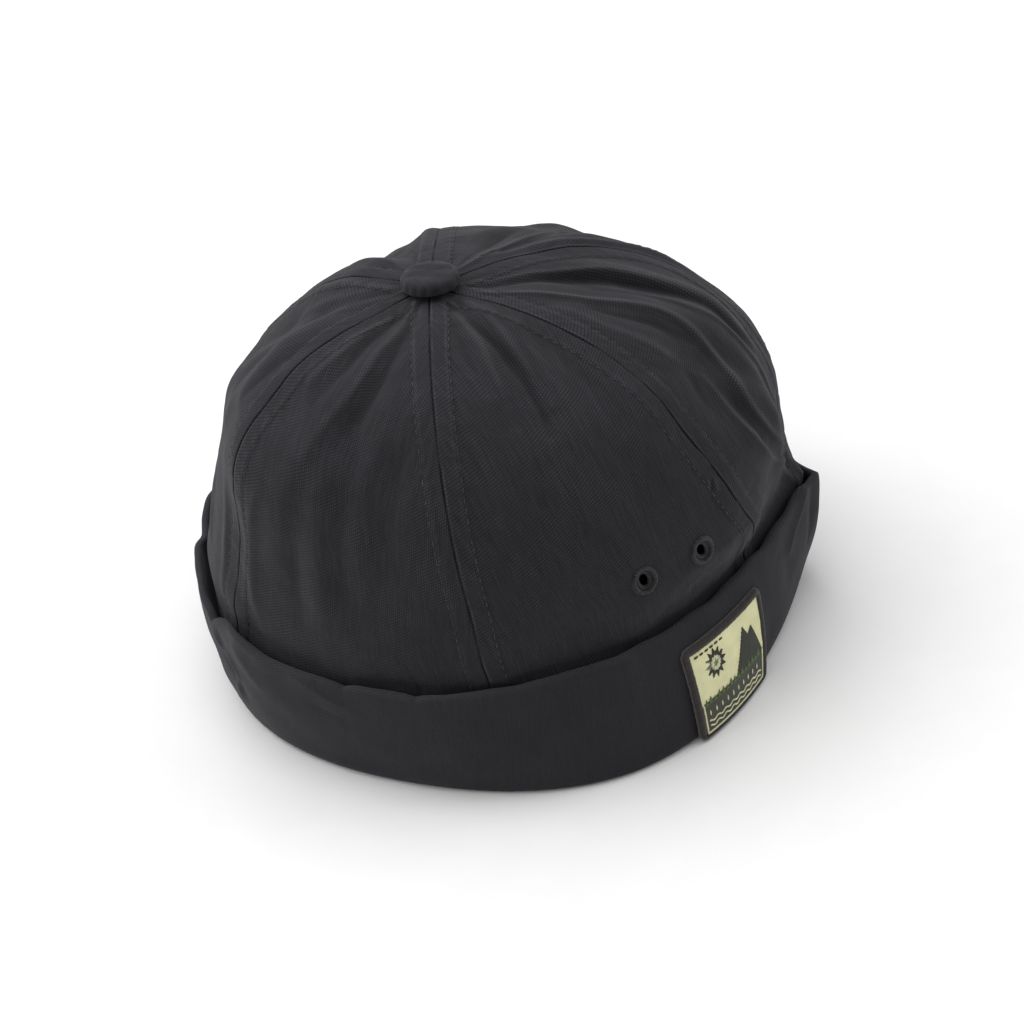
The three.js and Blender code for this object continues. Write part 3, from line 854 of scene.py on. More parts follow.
def grid_normals(grid: Array, closed: bool = False) -> Array:
    """Finds the outward directions of a grid of points.

    Args:
        grid: Rows that go up the cap, with columns that go round it from its front to its left.
        closed: Whether the last column meets the first.

    Returns:
        One direction for each point.
    """
    if closed:
        around = np.roll(grid, -1, axis=1) - np.roll(grid, 1, axis=1)
    else:
        around = np.gradient(grid, axis=1)
    return unit(np.cross(around, np.gradient(grid, axis=0)))


def convexity(grid: Array, normals: Array) -> Array:
    """Measures how sharply a grid bulges, in one over millimetres, below zero in a valley."""
    total = np.zeros(grid.shape[:2])
    for axis in (0, 1):
        ahead = np.roll(grid, -1, axis=axis) - grid
        behind = grid - np.roll(grid, 1, axis=axis)
        near, far = np.linalg.norm(behind, axis=-1), np.linalg.norm(ahead, axis=-1)
        bend = unit(ahead) - unit(behind)
        bent = -(bend * normals).sum(-1) / np.maximum(0.5 * (near + far), 0.05)
        ends = [slice(None), slice(None)]
        for end in (0, -1):
            ends[axis] = end
            bent[tuple(ends)] = 0.0
        total += bent
    for _ in range(2):
        total[1:-1] = (total[:-2] + 2 * total[1:-1] + total[2:]) / 4
        total[:, 1:-1] = (total[:, :-2] + 2 * total[:, 1:-1] + total[:, 2:]) / 4
    return total


def wall_faces(rows: int, columns: int, kept: NDArray[np.bool_] | None = None) -> list[Faces]:
    """Lists the faces of a closed wall between a fine outer grid and an inner grid half as fine.

    Args:
        rows: Points up the outer grid, an odd number.
        columns: Points round the outer grid, an odd number.
        kept: Which cells of the inner grid are there. The wall closes round each missing cell.

    Returns:
        Blocks of faces, for the outer grid's points followed by the inner grid's.
    """
    halves = ((rows + 1) // 2, (columns + 1) // 2)
    if kept is None:
        kept = np.ones((halves[0] - 1, halves[1] - 1), bool)
    number = np.arange(rows * columns).reshape(rows, columns)
    back = rows * columns + np.arange(halves[0] * halves[1]).reshape(halves)
    fine = np.repeat(np.repeat(kept, 2, axis=0), 2, axis=1)
    outer = np.stack([number[:-1, :-1], number[:-1, 1:], number[1:, 1:], number[1:, :-1]], -1)[fine]
    corners = [number[:-2:2, :-2:2], number[:-2:2, 2::2], number[2::2, 2::2], number[2::2, :-2:2]]
    halfway = [number[:-2:2, 1::2], number[1::2, 2::2], number[2::2, 1::2], number[1::2, :-2:2]]
    backs = [back[:-1, :-1], back[:-1, 1:], back[1:, 1:], back[1:, :-1]]
    inner = np.stack(backs[::-1], -1)[kept]
    padded = np.pad(kept, 1)
    neighbours = (padded[:-2, 1:-1], padded[1:-1, 2:], padded[2:, 1:-1], padded[1:-1, :-2])
    sides = []
    for edge, neighbour in enumerate(neighbours):
        after = (edge + 1) % 4
        side = [corners[after], halfway[edge], corners[edge], backs[edge], backs[after]]
        sides.append(np.stack(side, -1)[kept & ~neighbour])
    return [outer, inner, np.concatenate(sides)]


def threads(paths: Array, ups: Array, radius: Array | float, sides: int, flatness: float = 1.0) -> Draft:
    """Lays round threads along paths.

    Args:
        paths: The threads' centre points, one row for each thread.
        ups: The direction away from the cloth at each point.
        radius: The radius at each point of a thread, or the same for all.
        sides: How many sides a thread has.
        flatness: Its height as a share of its width.

    Returns:
        The threads as one draft, with a strand attribute of the place along and around each.
    """
    count, rings = paths.shape[:2]
    ahead = unit(np.gradient(paths, axis=1))
    across = unit(np.cross(ahead, ups))
    lift = np.cross(across, ahead)
    radius = np.broadcast_to(radius, (count, rings))[:, :, None, None]
    angles = np.linspace(0.0, 2 * math.pi, sides, endpoint=False)
    ring = (
        across[:, :, None] * np.cos(angles)[:, None] + lift[:, :, None] * np.sin(angles)[:, None] * flatness
    ) * radius
    points = paths[:, :, None] + ring
    number = np.arange(count * rings * sides).reshape(count, rings, sides)
    after = np.roll(number, -1, axis=2)
    faces = np.stack([number[:, :-1], after[:, :-1], after[:, 1:], number[:, 1:]], -1).reshape(-1, 4)
    along = np.broadcast_to(run_along(paths)[:, :, None], (count, rings, sides))
    around = np.broadcast_to(angles, (count, rings, sides))
    order = np.broadcast_to(np.arange(count, dtype=float)[:, None, None], (count, rings, sides))
    strand = np.stack([along, around, order], -1).reshape(-1, 3)
    return Draft(points.reshape(-1, 3), [faces], {"strand": strand})


class Graph:
    """A material's nodes, with a few words for wiring them."""

    def __init__(self, name: str) -> None:
        """Starts a material with one Principled shader."""
        self.material = bpy.data.materials.new(name)
        self.material.use_nodes = True
        self.tree = self.material.node_tree
        self.tree.nodes.clear()
        output = self.tree.nodes.new("ShaderNodeOutputMaterial")
        self.shader = self.tree.nodes.new("ShaderNodeBsdfPrincipled")
        self.tree.links.new(self.shader.outputs["BSDF"], output.inputs["Surface"])

    def feed(self, socket: Socket, value: Feed) -> None:
        """Links a socket to another, or sets it to a value."""
        if isinstance(value, Socket):
            self.tree.links.new(value, socket)
        else:
            socket.default_value = value

    def attribute(self, name: str, output: str = "Vector") -> Socket:
        """Reads an attribute of the mesh."""
        node = self.tree.nodes.new("ShaderNodeAttribute")
        node.attribute_name = name
        return node.outputs[output]

    def maths(self, operation: str, *values: Feed) -> Socket:
        """Works out one number from others."""
        node = self.tree.nodes.new("ShaderNodeMath")
        node.operation = operation
        for socket, value in zip(node.inputs, values, strict=False):
            self.feed(socket, value)
        return node.outputs[0]

    def times(self, first: Feed, second: Feed) -> Socket:
        """Multiplies two numbers."""
        return self.maths("MULTIPLY", first, second)

    def plus(self, first: Feed, second: Feed) -> Socket:
        """Adds two numbers."""
        return self.maths("ADD", first, second)

    def minus(self, first: Feed, second: Feed) -> Socket:
        """Takes the second number from the first."""
        return self.maths("SUBTRACT", first, second)

    def vector(self, operation: str, *values: Feed) -> Socket:
        """Works out one vector from others."""
        node = self.tree.nodes.new("ShaderNodeVectorMath")
        node.operation = operation
        for socket, value in zip(node.inputs, values, strict=False):
            self.feed(socket, value)
        return node.outputs[0]

    def scaled(self, vector: Feed, factor: Feed) -> Socket:
        """Scales a vector or a colour."""
        node = self.tree.nodes.new("ShaderNodeVectorMath")
        node.operation = "SCALE"
        self.feed(node.inputs[0], vector)
        self.feed(node.inputs["Scale"], factor)
        return node.outputs[0]

    def parts(self, vector: Feed) -> tuple[Socket, ...]:
        """Splits a vector into its three parts."""
        node = self.tree.nodes.new("ShaderNodeSeparateXYZ")
        self.feed(node.inputs[0], vector)
        return tuple(node.outputs)

    def whole(self, x: Feed, y: Feed, z: Feed = 0.0) -> Socket:
        """Joins three parts into a vector."""
        node = self.tree.nodes.new("ShaderNodeCombineXYZ")
        for socket, value in zip(node.inputs, (x, y, z), strict=True):
            self.feed(socket, value)
        return node.outputs[0]

    def noise(self, vector: Feed, scale: float, detail: float = 2.0, output: str = "Fac") -> Socket:
        """Reads soft noise, about 0.5 on average."""
        node = self.tree.nodes.new("ShaderNodeTexNoise")
        self.feed(node.inputs["Vector"], vector)
        node.inputs["Scale"].default_value = scale
        node.inputs["Detail"].default_value = detail
        return node.outputs[output]

    def chance(self, vector: Feed) -> Socket:
        """Reads a random number for each whole vector."""
        node = self.tree.nodes.new("ShaderNodeTexWhiteNoise")
        self.feed(node.inputs["Vector"], vector)
        return node.outputs["Value"]

    def fit(self, value: Feed, low: float, high: float, start: float = 0.0, end: float = 1.0) -> Socket:
        """Maps low to high onto start to end, held at the ends."""
        node = self.tree.nodes.new("ShaderNodeMapRange")
        for socket, part in zip(node.inputs, (value, low, high, start, end), strict=False):
            self.feed(socket, part)
        return node.outputs[0]

    def blend(self, share: Feed, first: Feed, second: Feed) -> Socket:
        """Mixes two colours."""
        node = self.tree.nodes.new("ShaderNodeMix")
        node.data_type = "RGBA"
        self.feed(node.inputs["Factor"], share)
        for socket, value in zip((node.inputs[6], node.inputs[7]), (first, second), strict=True):
            self.feed(socket, (*value, 1.0) if isinstance(value, tuple) else value)
        return node.outputs[2]

    def relief(self, height: Feed, distance: float, under: Feed | None = None) -> Socket:
        """Turns a height from 0 to 1 into a bump of so many millimetres."""
        node = self.tree.nodes.new("ShaderNodeBump")
        node.inputs["Distance"].default_value = distance * MM
        self.feed(node.inputs["Height"], height)
        if under is not None:
            self.feed(node.inputs["Normal"], under)
        return node.outputs[0]

    def constants(self, **values: float | Colour) -> None:
        """Sets the shader's own sockets, named in small letters with low lines for spaces."""
        for socket in self.shader.inputs:
            key = socket.name.lower().replace(" ", "_")
            if key in values:
                value = values[key]
                socket.default_value = (*value, 1.0) if isinstance(value, tuple) else value


@dataclass(frozen=True)
class TwillFinish:
    """Washed cotton twill.

    Attributes:
        name: The material's name.
        colour: The yarn's colour.
        yarn: The width of a warp yarn.
        float_length: How far a warp yarn runs before it dips under.
        relief: The height of the weave.
        contrast: How strongly the weave shows in the colour.
        worn_and_highlight: The colour mixed in on crests, for abrasion together with a painted highlight.
    """

    name: str
    colour: Colour = linear(44, 43, 47)
    yarn: float = 0.7
    float_length: float = 1.05
    relief: float = 0.07
    contrast: float = 0.5
    worn_and_highlight: Colour = linear(96, 96, 100)

    def material(self) -> Material:
        """Wires the weave, the uneven yarns, the washing, the abrasion and the painted shade and highlight.
        """
        graph = Graph(self.name)
        cloth = graph.attribute("weave")
        drift = graph.vector("SUBTRACT", graph.noise(cloth, 0.06, output="Color"), (0.5, 0.5, 0.5))
        x, y, panel = graph.parts(graph.vector("ADD", cloth, graph.scaled(drift, 2.4)))
        count = graph.maths("DIVIDE", x, self.yarn)
        yarn = graph.maths("FLOOR", count)
        across = graph.minus(graph.maths("FRACT", count), 0.5)
        across = graph.minus(1.0, graph.times(graph.maths("POWER", across, 2.0), 4.0))
        climb = graph.minus(graph.maths("DIVIDE", y, self.float_length), graph.maths("DIVIDE", yarn, 3.0))
        along = graph.minus(graph.maths("FRACT", climb), 0.5)
        along = graph.minus(1.0, graph.times(graph.maths("POWER", along, 2.0), 4.0))
        weave = graph.times(graph.maths("POWER", across, 0.9), graph.maths("POWER", along, 1.1))
        slub = graph.noise(graph.whole(graph.times(yarn, 3.7), graph.times(y, 0.09), panel), 1.0)
        twist = graph.noise(graph.whole(graph.times(x, 0.5), graph.times(y, 2.2), panel), 1.0, 3)
        height = graph.plus(weave, graph.times(slub, 0.35))
        height = graph.plus(height, graph.times(twist, 0.3))
        wash = graph.noise(cloth, 0.035, 3)
        wear = graph.attribute("wear", "Fac")
        faded = graph.fit(graph.noise(cloth, 0.07, 3), 0.38, 0.62, 0.35, 1.0)
        shown = graph.maths("MULTIPLY_ADD", graph.minus(weave, 0.42), faded, 0.42)
        # Painted shade: the gaps between the yarns are darker in the colour.
        shade = graph.fit(shown, 0.0, 0.85, 1 - self.contrast, 1 + 0.66 * self.contrast)
        slubs = 0.32 * self.contrast
        shade = graph.times(shade, graph.fit(slub, 0.3, 0.7, 1 - slubs, 1 + slubs))
        shade = graph.times(shade, graph.fit(wash, 0.3, 0.7, 0.92, 1.08))
        # Painted shade: darker in hollows and in the seams' grooves.
        shade = graph.times(shade, graph.fit(wear, -0.4, 0.0, 0.66, 1.0))
        # Lighter on crests and on one seam lip: abrasion together with a painted highlight.
        rubbed_and_painted_light = graph.times(graph.fit(wear, 0.08, 0.8, 0.0, 0.5), graph.fit(weave, 0.1, 0.9, 0.35, 1.0))
        dyed = graph.scaled(self.colour, shade)
        graph.feed(graph.shader.inputs["Base Color"], graph.blend(rubbed_and_painted_light, dyed, self.worn_and_highlight))
        graph.feed(graph.shader.inputs["Roughness"], graph.fit(weave, 0.0, 1.0, 0.98, 0.84))
        graph.feed(graph.shader.inputs["Normal"], graph.relief(height, self.relief))
        graph.constants(
            sheen_weight=0.11, sheen_roughness=0.4, sheen_tint=(0.8, 0.8, 0.86), specular_ior_level=0.16
        )
        return graph.material


@dataclass(frozen=True)
class ThreadFinish:
    """Twisted thread with a soft gloss."""

    name: str
    colour: Colour
    gloss: float = 0.55
    pitch: float = 0.7
    relief: float = 0.05
    spread: float = 0.18
    tip: Colour | None = None

    def material(self) -> Material:
        """Wires the twist of the plies and the shade of each thread."""
        graph = Graph(self.name)
        along, around, order = graph.parts(graph.attribute("strand"))
        turns = graph.times(along, 2 * math.pi / self.pitch)
        ply = graph.maths("SINE", graph.plus(turns, graph.times(around, 2.0)))
        ply = graph.fit(ply, -1.0, 1.0)
        own = graph.chance(graph.whole(order, 0.0))
        # Painted shade: darker in the grooves between the plies.
        plied = graph.fit(ply, 0.0, 1.0, 0.7, 1.05)
        shade = graph.times(plied, graph.fit(own, 0.0, 1.0, 1 - self.spread, 1 + self.spread))
        colour = self.colour
        # A thread's start can be mixed towards a paler tip colour: a painted highlight.
        if self.tip is not None:
            colour = graph.blend(graph.fit(along, 0.3, 1.0, 0.85, 0.0), self.colour, self.tip)
        graph.feed(graph.shader.inputs["Base Color"], graph.scaled(colour, shade))
        graph.feed(graph.shader.inputs["Roughness"], graph.fit(ply, 0.0, 1.0, self.gloss + 0.2, self.gloss))
        graph.feed(graph.shader.inputs["Normal"], graph.relief(ply, self.relief))
        graph.constants(sheen_weight=0.2, sheen_roughness=0.4, specular_ior_level=0.4)
        return graph.material


@dataclass(frozen=True)
class LabelFinish:
    """A fine woven label with a pale upper ground and a dark lower one.

    Attributes:
        name: The material's name.
        upper: The upper ground's colour.
        lower: The lower ground's colour.
        meeting: How far up the label the two meet.
        pick: The distance between the weft threads.
    """

    name: str
    upper: Colour = linear(236, 234, 184)
    lower: Colour = linear(68, 71, 60)
    meeting: float = 11.0
    pick: float = 0.28

    def material(self) -> Material:
        """Wires the fine ribs and the two grounds."""
        graph = Graph(self.name)
        label = graph.attribute("label")
        x, y, _ = graph.parts(label)
        rib = graph.fit(graph.maths("SINE", graph.times(y, 2 * math.pi / self.pick)), -1.0, 1.0)
        end = graph.fit(graph.maths("SINE", graph.times(x, 2 * math.pi / (self.pick * 1.4))), -1.0, 1.0)
        weave = graph.plus(graph.times(rib, 0.7), graph.times(end, 0.3))
        ragged = graph.times(graph.minus(graph.noise(label, 1.4, 1), 0.5), 0.9)
        low = graph.fit(graph.plus(y, ragged), self.meeting - 0.1, self.meeting + 0.1, 1.0, 0.0)
        ground = graph.blend(low, self.upper, self.lower)
        soil = graph.fit(graph.noise(label, 0.16, 3), 0.3, 0.7, 0.9, 1.06)
        # Painted shade: darker between the ribs.
        shade = graph.times(graph.fit(weave, 0.0, 1.0, 0.82, 1.05), soil)
        graph.feed(graph.shader.inputs["Base Color"], graph.scaled(ground, shade))
        graph.feed(graph.shader.inputs["Normal"], graph.relief(weave, 0.05))
        graph.constants(roughness=0.72, sheen_weight=0.1, specular_ior_level=0.35)
        return graph.material


@dataclass(frozen=True)
class FloorFinish:
    """A plain pale floor with a faint grain."""

    name: str = "pale_floor"
    colour: Colour = (0.86, 0.86, 0.86)

    def material(self) -> Material:
        """Wires the faint grain."""
        graph = Graph(self.name)
        grain = graph.fit(graph.noise(graph.attribute("floor"), 60.0), 0.3, 0.7, 0.985, 1.0)
        graph.feed(graph.shader.inputs["Base Color"], graph.scaled(self.colour, grain))
        graph.constants(roughness=0.9, specular_ior_level=0.1)
        return graph.material


@dataclass(frozen=True)
class Topstitching:
    """The rows of stitches that hold a seam's allowances down.

    Attributes:
        away: How far a row lies from its seam.
        pitch: The length of one stitch with its gap.
        shown: The length of the thread that shows.
        radius: The thread's radius.
        lowest: The height where the rows go out of sight.
        nearest: How near the button the rows come.
        rings: How many points a stitch has along it.
        sides: How many sides its thread has.
    """

    away: float = 5.9
    pitch: float = 3.2
    shown: float = 2.1
    radius: float = 0.17
    lowest: float = 30.0
    nearest: float = 8.0
    rings: int = 7
    sides: int = 6

    def row(self, path: Array, ups: Array, seed: int) -> Draft:
        """Lays one row of stitches.

        Args:
            path: Points on the cloth along the row.
            ups: The cloth's outward direction at each point.
            seed: Where the small random shifts start.

        Returns:
            The stitches.
        """
        draw = np.random.default_rng(seed)
        lengths = run_along(path)
        count = int(lengths[-1] / self.pitch)
        starts = (np.arange(count) + 0.5) * self.pitch - self.shown / 2 + draw.normal(0.0, 0.09, count)
        share = np.linspace(0.0, 1.0, self.rings)
        places = starts[:, None] + share * self.shown * draw.uniform(0.9, 1.08, count)[:, None]
        centres = pick_along(places.ravel(), lengths, path).reshape(count, self.rings, 3)
        up = unit(pick_along(places.ravel(), lengths, ups)).reshape(count, self.rings, 3)
        aside = unit(np.cross(np.gradient(centres, axis=1), up))
        slant = draw.normal(0.0, 0.05, count)[:, None] * (share - 0.5)
        rise = self.radius * (1.5 * np.sin(math.pi * share) ** 0.5 - 0.9)
        centres = centres + up * rise[:, None] + aside * slant[..., None]
        radius = self.radius * (0.55 + 0.45 * np.sin(math.pi * share) ** 0.5)
        return threads(centres, up, radius, self.sides, 0.8)


# Closed sections of the wound rings: the share from the hole to the outer edge, and the height.
SATIN_SECTION = (
    (0.5, -1.0), (0.5, -0.2), (0.58, 0.4), (0.72, 0.66), (0.88, 0.6), (1.0, 0.2), (1.04, -0.5), (0.98, -1.3),
    (0.76, -1.75), (0.54, -1.55), (0.5, -1.0),
)
EDGE_SECTION = (
    (0.0, -1.0), (0.03, -0.5), (0.18, -0.32), (0.38, -0.42), (0.56, -0.8), (0.44, -1.3), (0.12, -1.4),
    (0.0, -1.0),
)


@dataclass
class EyeletRing:
    """A satin-stitched eyelet over the turned edge of its hole.

    Attributes:
        name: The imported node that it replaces.
        at: Its angle round the plan.
        height: Its height above the table.
        outer: Its outer radius.
        inner: Half its hole's width.
        tall: How much taller than wide it is.
        slit: How much taller than wide its hole is.
        hole: Half the width of the hole in the cloth, under the stitches.
        hole_tall: How much taller than wide that hole is.
        wraps: How many turns of thread it has.
        thread: The satin thread's radius.
        edge_thread: The radius of the thread on the turned edge.
        rings: How many points one turn has.
        looseness: How uneven the turns are.
        slant: How far a turn leans round the hole, in radians.
    """

    name: str
    at: float
    height: float = 66.0
    outer: float = 4.5
    inner: float = 1.65
    tall: float = 1.14
    slit: float = 1.6
    hole: float = 3.2
    hole_tall: float = 1.2
    wraps: int = 84
    thread: float = 0.18
    edge_thread: float = 0.22
    rings: int = 15
    looseness: float = 0.022
    slant: float = 0.06

    def clear_of(self, panel: "CrownPanel", points: Array) -> NDArray[np.bool_]:
        """Returns which points of a panel lie outside the hole in its cloth."""
        centre, normal, up = panel.spot(self.at, panel.crown.latitude(self.height))
        across = (points - centre) @ np.cross(up, normal)
        along = (points - centre) @ up
        return np.hypot(across, along / self.hole_tall) > self.hole

    def _wound(self, panel: "CrownPanel", section: Pairs, thread: float, seed: int) -> Draft:
        """Winds thread round a ring.

        Args:
            panel: The panel that carries it.
            section: The ring's closed section, as shares from the hole to the outer edge and heights.
            thread: The thread's radius.
            seed: Where the random draw starts.

        Returns:
            The turns of thread.
        """
        draw = np.random.default_rng(seed)
        centre, normal, up = panel.spot(self.at, panel.crown.latitude(self.height))
        side = np.cross(up, normal)
        corners = np.array(section)
        lengths = run_along(corners)
        share, rise = pick_along(np.linspace(0.0, lengths[-1], self.rings), lengths, corners).T
        turns = (np.arange(self.wraps) + draw.uniform(-0.25, 0.25, self.wraps)) * (2 * math.pi / self.wraps)
        loose = 1 + draw.normal(0.0, self.looseness, self.wraps)[:, None]
        reach = self.inner + (self.outer - self.inner) * share * loose
        tall = self.slit + (self.tall - self.slit) * share
        lean = turns[:, None] + self.slant * share
        points = (
            centre
            + side * (reach * np.cos(lean))[..., None]
            + up * (reach * np.sin(lean) * tall)[..., None]
            + normal * (rise * (0.5 + 0.5 * loose))[..., None]
        )
        hub = points.mean(1, keepdims=True)
        return threads(points, unit(points - hub), thread, 6)

    def build(self, panel: "CrownPanel", place: Place, satin: Material, edge: Material) -> None:
        """Winds the satin stitches and the edge inside them, dark as painted shade in the hole's recess.

        Args:
            panel: The panel that carries it.
            place: Where the cap's plan stands.
            satin: The satin thread's finish.
            edge: The finish of the cloth's turned edge, dark as painted shade in the recess.
        """
        seed = int(abs(self.at) * 10)
        ring = self._wound(panel, SATIN_SECTION, self.thread, seed)
        seat(ring.make(self.name + "_stitching", place, satin), Slot.EYELET, self.name)
        inside = self._wound(panel, EDGE_SECTION, self.edge_thread, seed + 1)
        seat(inside.make(self.name + "_edge", place, edge), Slot.EYELET)


@dataclass
class CrownPanel:
    """One of the six panels of the crown, from one seam to the next."""

    name: str
    start: Seam
    end: Seam
    crown: CrownForm
    stitching: Topstitching
    eyelets: tuple[EyeletRing, ...] = ()
    rows: int = 201
    columns: int = 169
    crowding: float = 3.0
    crowded: float = 0.03
    wall: float = 1.4
    seam_gap: float = 0.02
    allowance: float = 0.34
    groove: float = 0.6
    groove_width: float = 0.26
    gathers: int = 6
    held: float = 4.5

    def __post_init__(self) -> None:
        """Lays the panel's grid on the crown and works its relief into it."""
        self.latitudes = self._even_latitudes()
        heights = self.crown.height(self.latitudes)
        share = self._shares()
        inset = self.seam_gap / (self.crown.cuff.plan.half_width * self.crown.width(self.latitudes))
        start = self.start.at(heights) + np.degrees(inset)
        width = (self.end.at(heights) - self.start.at(heights)) % 360.0 - 2 * np.degrees(inset)
        self.angles = start[:, None] + width[:, None] * share
        base = self.crown.folded(self.angles, self.latitudes[:, None])
        normals = grid_normals(base)
        self.from_start = run_along(base)
        self.from_end = self.from_start[:, -1:] - self.from_start
        middle = self.columns // 2
        self.across = self.from_start - self.from_start[:, middle : middle + 1]
        self.along = np.broadcast_to(run_along(base[:, middle])[:, None], self.across.shape)
        loose = 0.5 * Unevenness(61, 14.0, 1.0).over(base)
        self.tight = [np.clip(seam.tight + loose, 0.05, 1.1) for seam in (self.start, self.end)]
        relief = self._relief(base)
        self.outer = base + normals * relief[..., None]
        self.normals = grid_normals(self.outer)
        lining = self.wall + 0.9 * self.allowance * self._allowances()
        self.inner = (self.outer - normals * lining[..., None])[::2, ::2]

    def _shares(self) -> Array:
        """Returns the columns' places from seam to seam, closer together near the seams."""
        fine = np.linspace(0.0, 1.0, 2000)
        crowd = 1 + self.crowding * (bell(fine / self.crowded) + bell((1 - fine) / self.crowded))
        total = np.concatenate([[0.0], np.cumsum((crowd[1:] + crowd[:-1]) / 2)])
        return np.interp(np.linspace(0.0, 1.0, self.columns), total / total[-1], fine)

    def _even_latitudes(self) -> Array:
        """Returns the rows' latitudes, evenly apart along the panel's middle."""
        fine = np.linspace(self.crown.lowest, self.crown.highest, 800)
        heights = self.crown.height(fine)
        width = (self.end.at(heights) - self.start.at(heights)) % 360.0
        line = run_along(self.crown.folded(self.start.at(heights) + width / 2, fine))
        return np.interp(np.linspace(0.0, line[-1], self.rows), line, fine)

    def _allowances(self) -> Array:
        """Returns where a seam allowance lies under the cloth, from 0 to 1."""
        return sum(
            smooth_step((self.stitching.away + 0.9 - away) / 1.4) for away in (self.from_start, self.from_end)
        ).clip(0.0, 1.0)

    def _flat(self, path: Sequence[tuple[float, float]]) -> Array:
        """Returns places of the panel, given by angle and latitude, as across and along in millimetres."""
        flat = []
        for at, latitude in path:
            row = np.interp(latitude, self.latitudes, np.arange(self.rows))
            low = min(int(row), self.rows - 2)
            share = row - low
            angles = self.angles[low] * (1 - share) + self.angles[low + 1] * share
            across = self.across[low] * (1 - share) + self.across[low + 1] * share
            at = angles[0] + turn(at, angles[0])
            up = np.interp(latitude, self.latitudes, self.along[:, 0])
            flat.append((np.interp(at, angles, across), up))
        return np.array(flat)

    def _gathers(self) -> Array:
        """Returns the small gathers that run out from under the button."""
        draw = np.random.default_rng(PANEL_NAMES.index(self.name) + 40)
        radius = self.along[-1:] - self.along
        total = np.zeros(self.across.shape)
        wide = 0.98 * (radius + 1.0)
        for number in range(self.gathers):
            heading = (number + 0.5 + draw.uniform(-0.3, 0.3)) / self.gathers - 0.5
            drift = draw.uniform(-0.06, 0.06)
            length = draw.uniform(24.0, 52.0)
            height = draw.uniform(0.15, 0.5) * (1 if number % 2 else -1)
            middle = (heading + drift * radius / length) * wide
            spread = (0.35 + 0.65 * smooth_step(radius / 34.0)) * draw.uniform(2.6, 4.2)
            shape = bell((self.across - middle) / spread)
            near = smooth_step((radius - 4.0) / 10.0)
            total += height * shape * near * smooth_step((length - radius) / 32.0)
        return total

    def _seam(self, away: Array, tight: Array, seed: int) -> Array:
        """Returns the relief beside one seam.

        Args:
            away: The distance to the seam.
            tight: How tightly it is sewn.
            seed: Where the random draw starts.

        Returns:
            The relief at each point.
        """
        row = self.stitching.away
        draw = np.random.default_rng(seed)
        raised = self.allowance * smooth_step((away + 0.25) / 0.8) * smooth_step((row + 1.2 - away) / 1.7)
        line = np.stack([self.along, np.zeros_like(away)], -1)
        loose = Unevenness(seed, 9.0, 1.0).over(line)
        band = smooth_step(away / 1.5) * smooth_step((row + 0.4 - away) / 1.2)
        roping = np.sin(2 * math.pi * (self.along / 4.6 + away / 8.0) + 1.3 * loose + draw.uniform(0.0, 6.0))
        stitched = np.cos(2 * math.pi * self.along / self.stitching.pitch)
        dimple = -0.26 * bell((away - row) / 0.6) * (0.75 - 0.25 * stitched)
        pucker = np.sin(2 * math.pi * self.along / 8.4 + 1.8 * loose + draw.uniform(0.0, 6.0))
        reach = np.exp(-np.abs(away - row) / 4.0)
        sewn = -self.groove * tight * bell(away / self.groove_width)
        return raised + sewn + 0.05 * roping * band + dimple + 0.09 * pucker * reach

    def _relief(self, base: Array) -> Array:
        """Returns the whole fine relief of the panel."""
        number = PANEL_NAMES.index(self.name)
        free = self._gathers()
        for crease in CREASES:
            if crease.panel == self.name:
                free += crease.over(self.across, self.along, self._flat(crease.path))
        free *= smooth_step(self.from_start / self.held) * smooth_step(self.from_end / self.held)
        for unevenness in (Unevenness(7, 46.0, 0.45), Unevenness(8, 19.0, 0.22), Unevenness(9, 7.0, 0.035)):
            free += unevenness.over(base)
        rim = self.crown.cuff.rim_height(self.angles)
        free *= smooth_step((base[..., 2] - rim + 7.0) / 9.0)
        return (
            free
            + self._seam(self.from_start, self.tight[0], 60 + number)
            + self._seam(self.from_end, self.tight[1], 70 + number)
        )

    def spot(self, at: float, latitude: float) -> tuple[Array, Array, Array]:
        """Finds a place on the finished panel.

        Args:
            at: Its angle.
            latitude: Its latitude.

        Returns:
            The point, the outward direction and the direction up the panel.
        """
        row = int(np.argmin(np.abs(self.latitudes - latitude)))
        angles = self.angles[row]
        column = int(np.argmin(np.abs(angles - (angles[0] + turn(at, angles[0])))))
        smooth = self.outer[row - 6 : row + 7, column - 6 : column + 7]
        normal = unit(self.normals[row - 6 : row + 7, column - 6 : column + 7].mean((0, 1)))
        up = smooth[-1].mean(0) - smooth[0].mean(0)
        up = unit(up - normal * (up @ normal))
        return self.outer[row, column], normal, up

    def stitch_rows(self, side: Side, seed: int) -> Draft:
        """Lays the row of stitches beside one of the panel's seams.

        Args:
            side: BEFORE for the seam where the panel ends, and AFTER for the one where it starts.
            seed: Where the small random shifts start.

        Returns:
            The stitches.
        """
        away = self.from_end[:, ::-1] if side is Side.BEFORE else self.from_start
        points = self.outer[:, ::-1] if side is Side.BEFORE else self.outer
        ups = self.normals[:, ::-1] if side is Side.BEFORE else self.normals
        reach = np.minimum(self.stitching.away, 0.46 * away[:, -1])
        path = np.array([pick_along(reach[row], away[row], points[row]) for row in range(self.rows)])
        normals = np.array([pick_along(reach[row], away[row], ups[row]) for row in range(self.rows)])
        eye = path[:, :2] - self.outer[-1, :, :2].mean(0)
        radius = np.linalg.norm(eye, axis=-1)
        shown = (path[:, 2] > self.stitching.lowest) & (radius > self.stitching.nearest)
        return self.stitching.row(path[shown], normals[shown], seed)

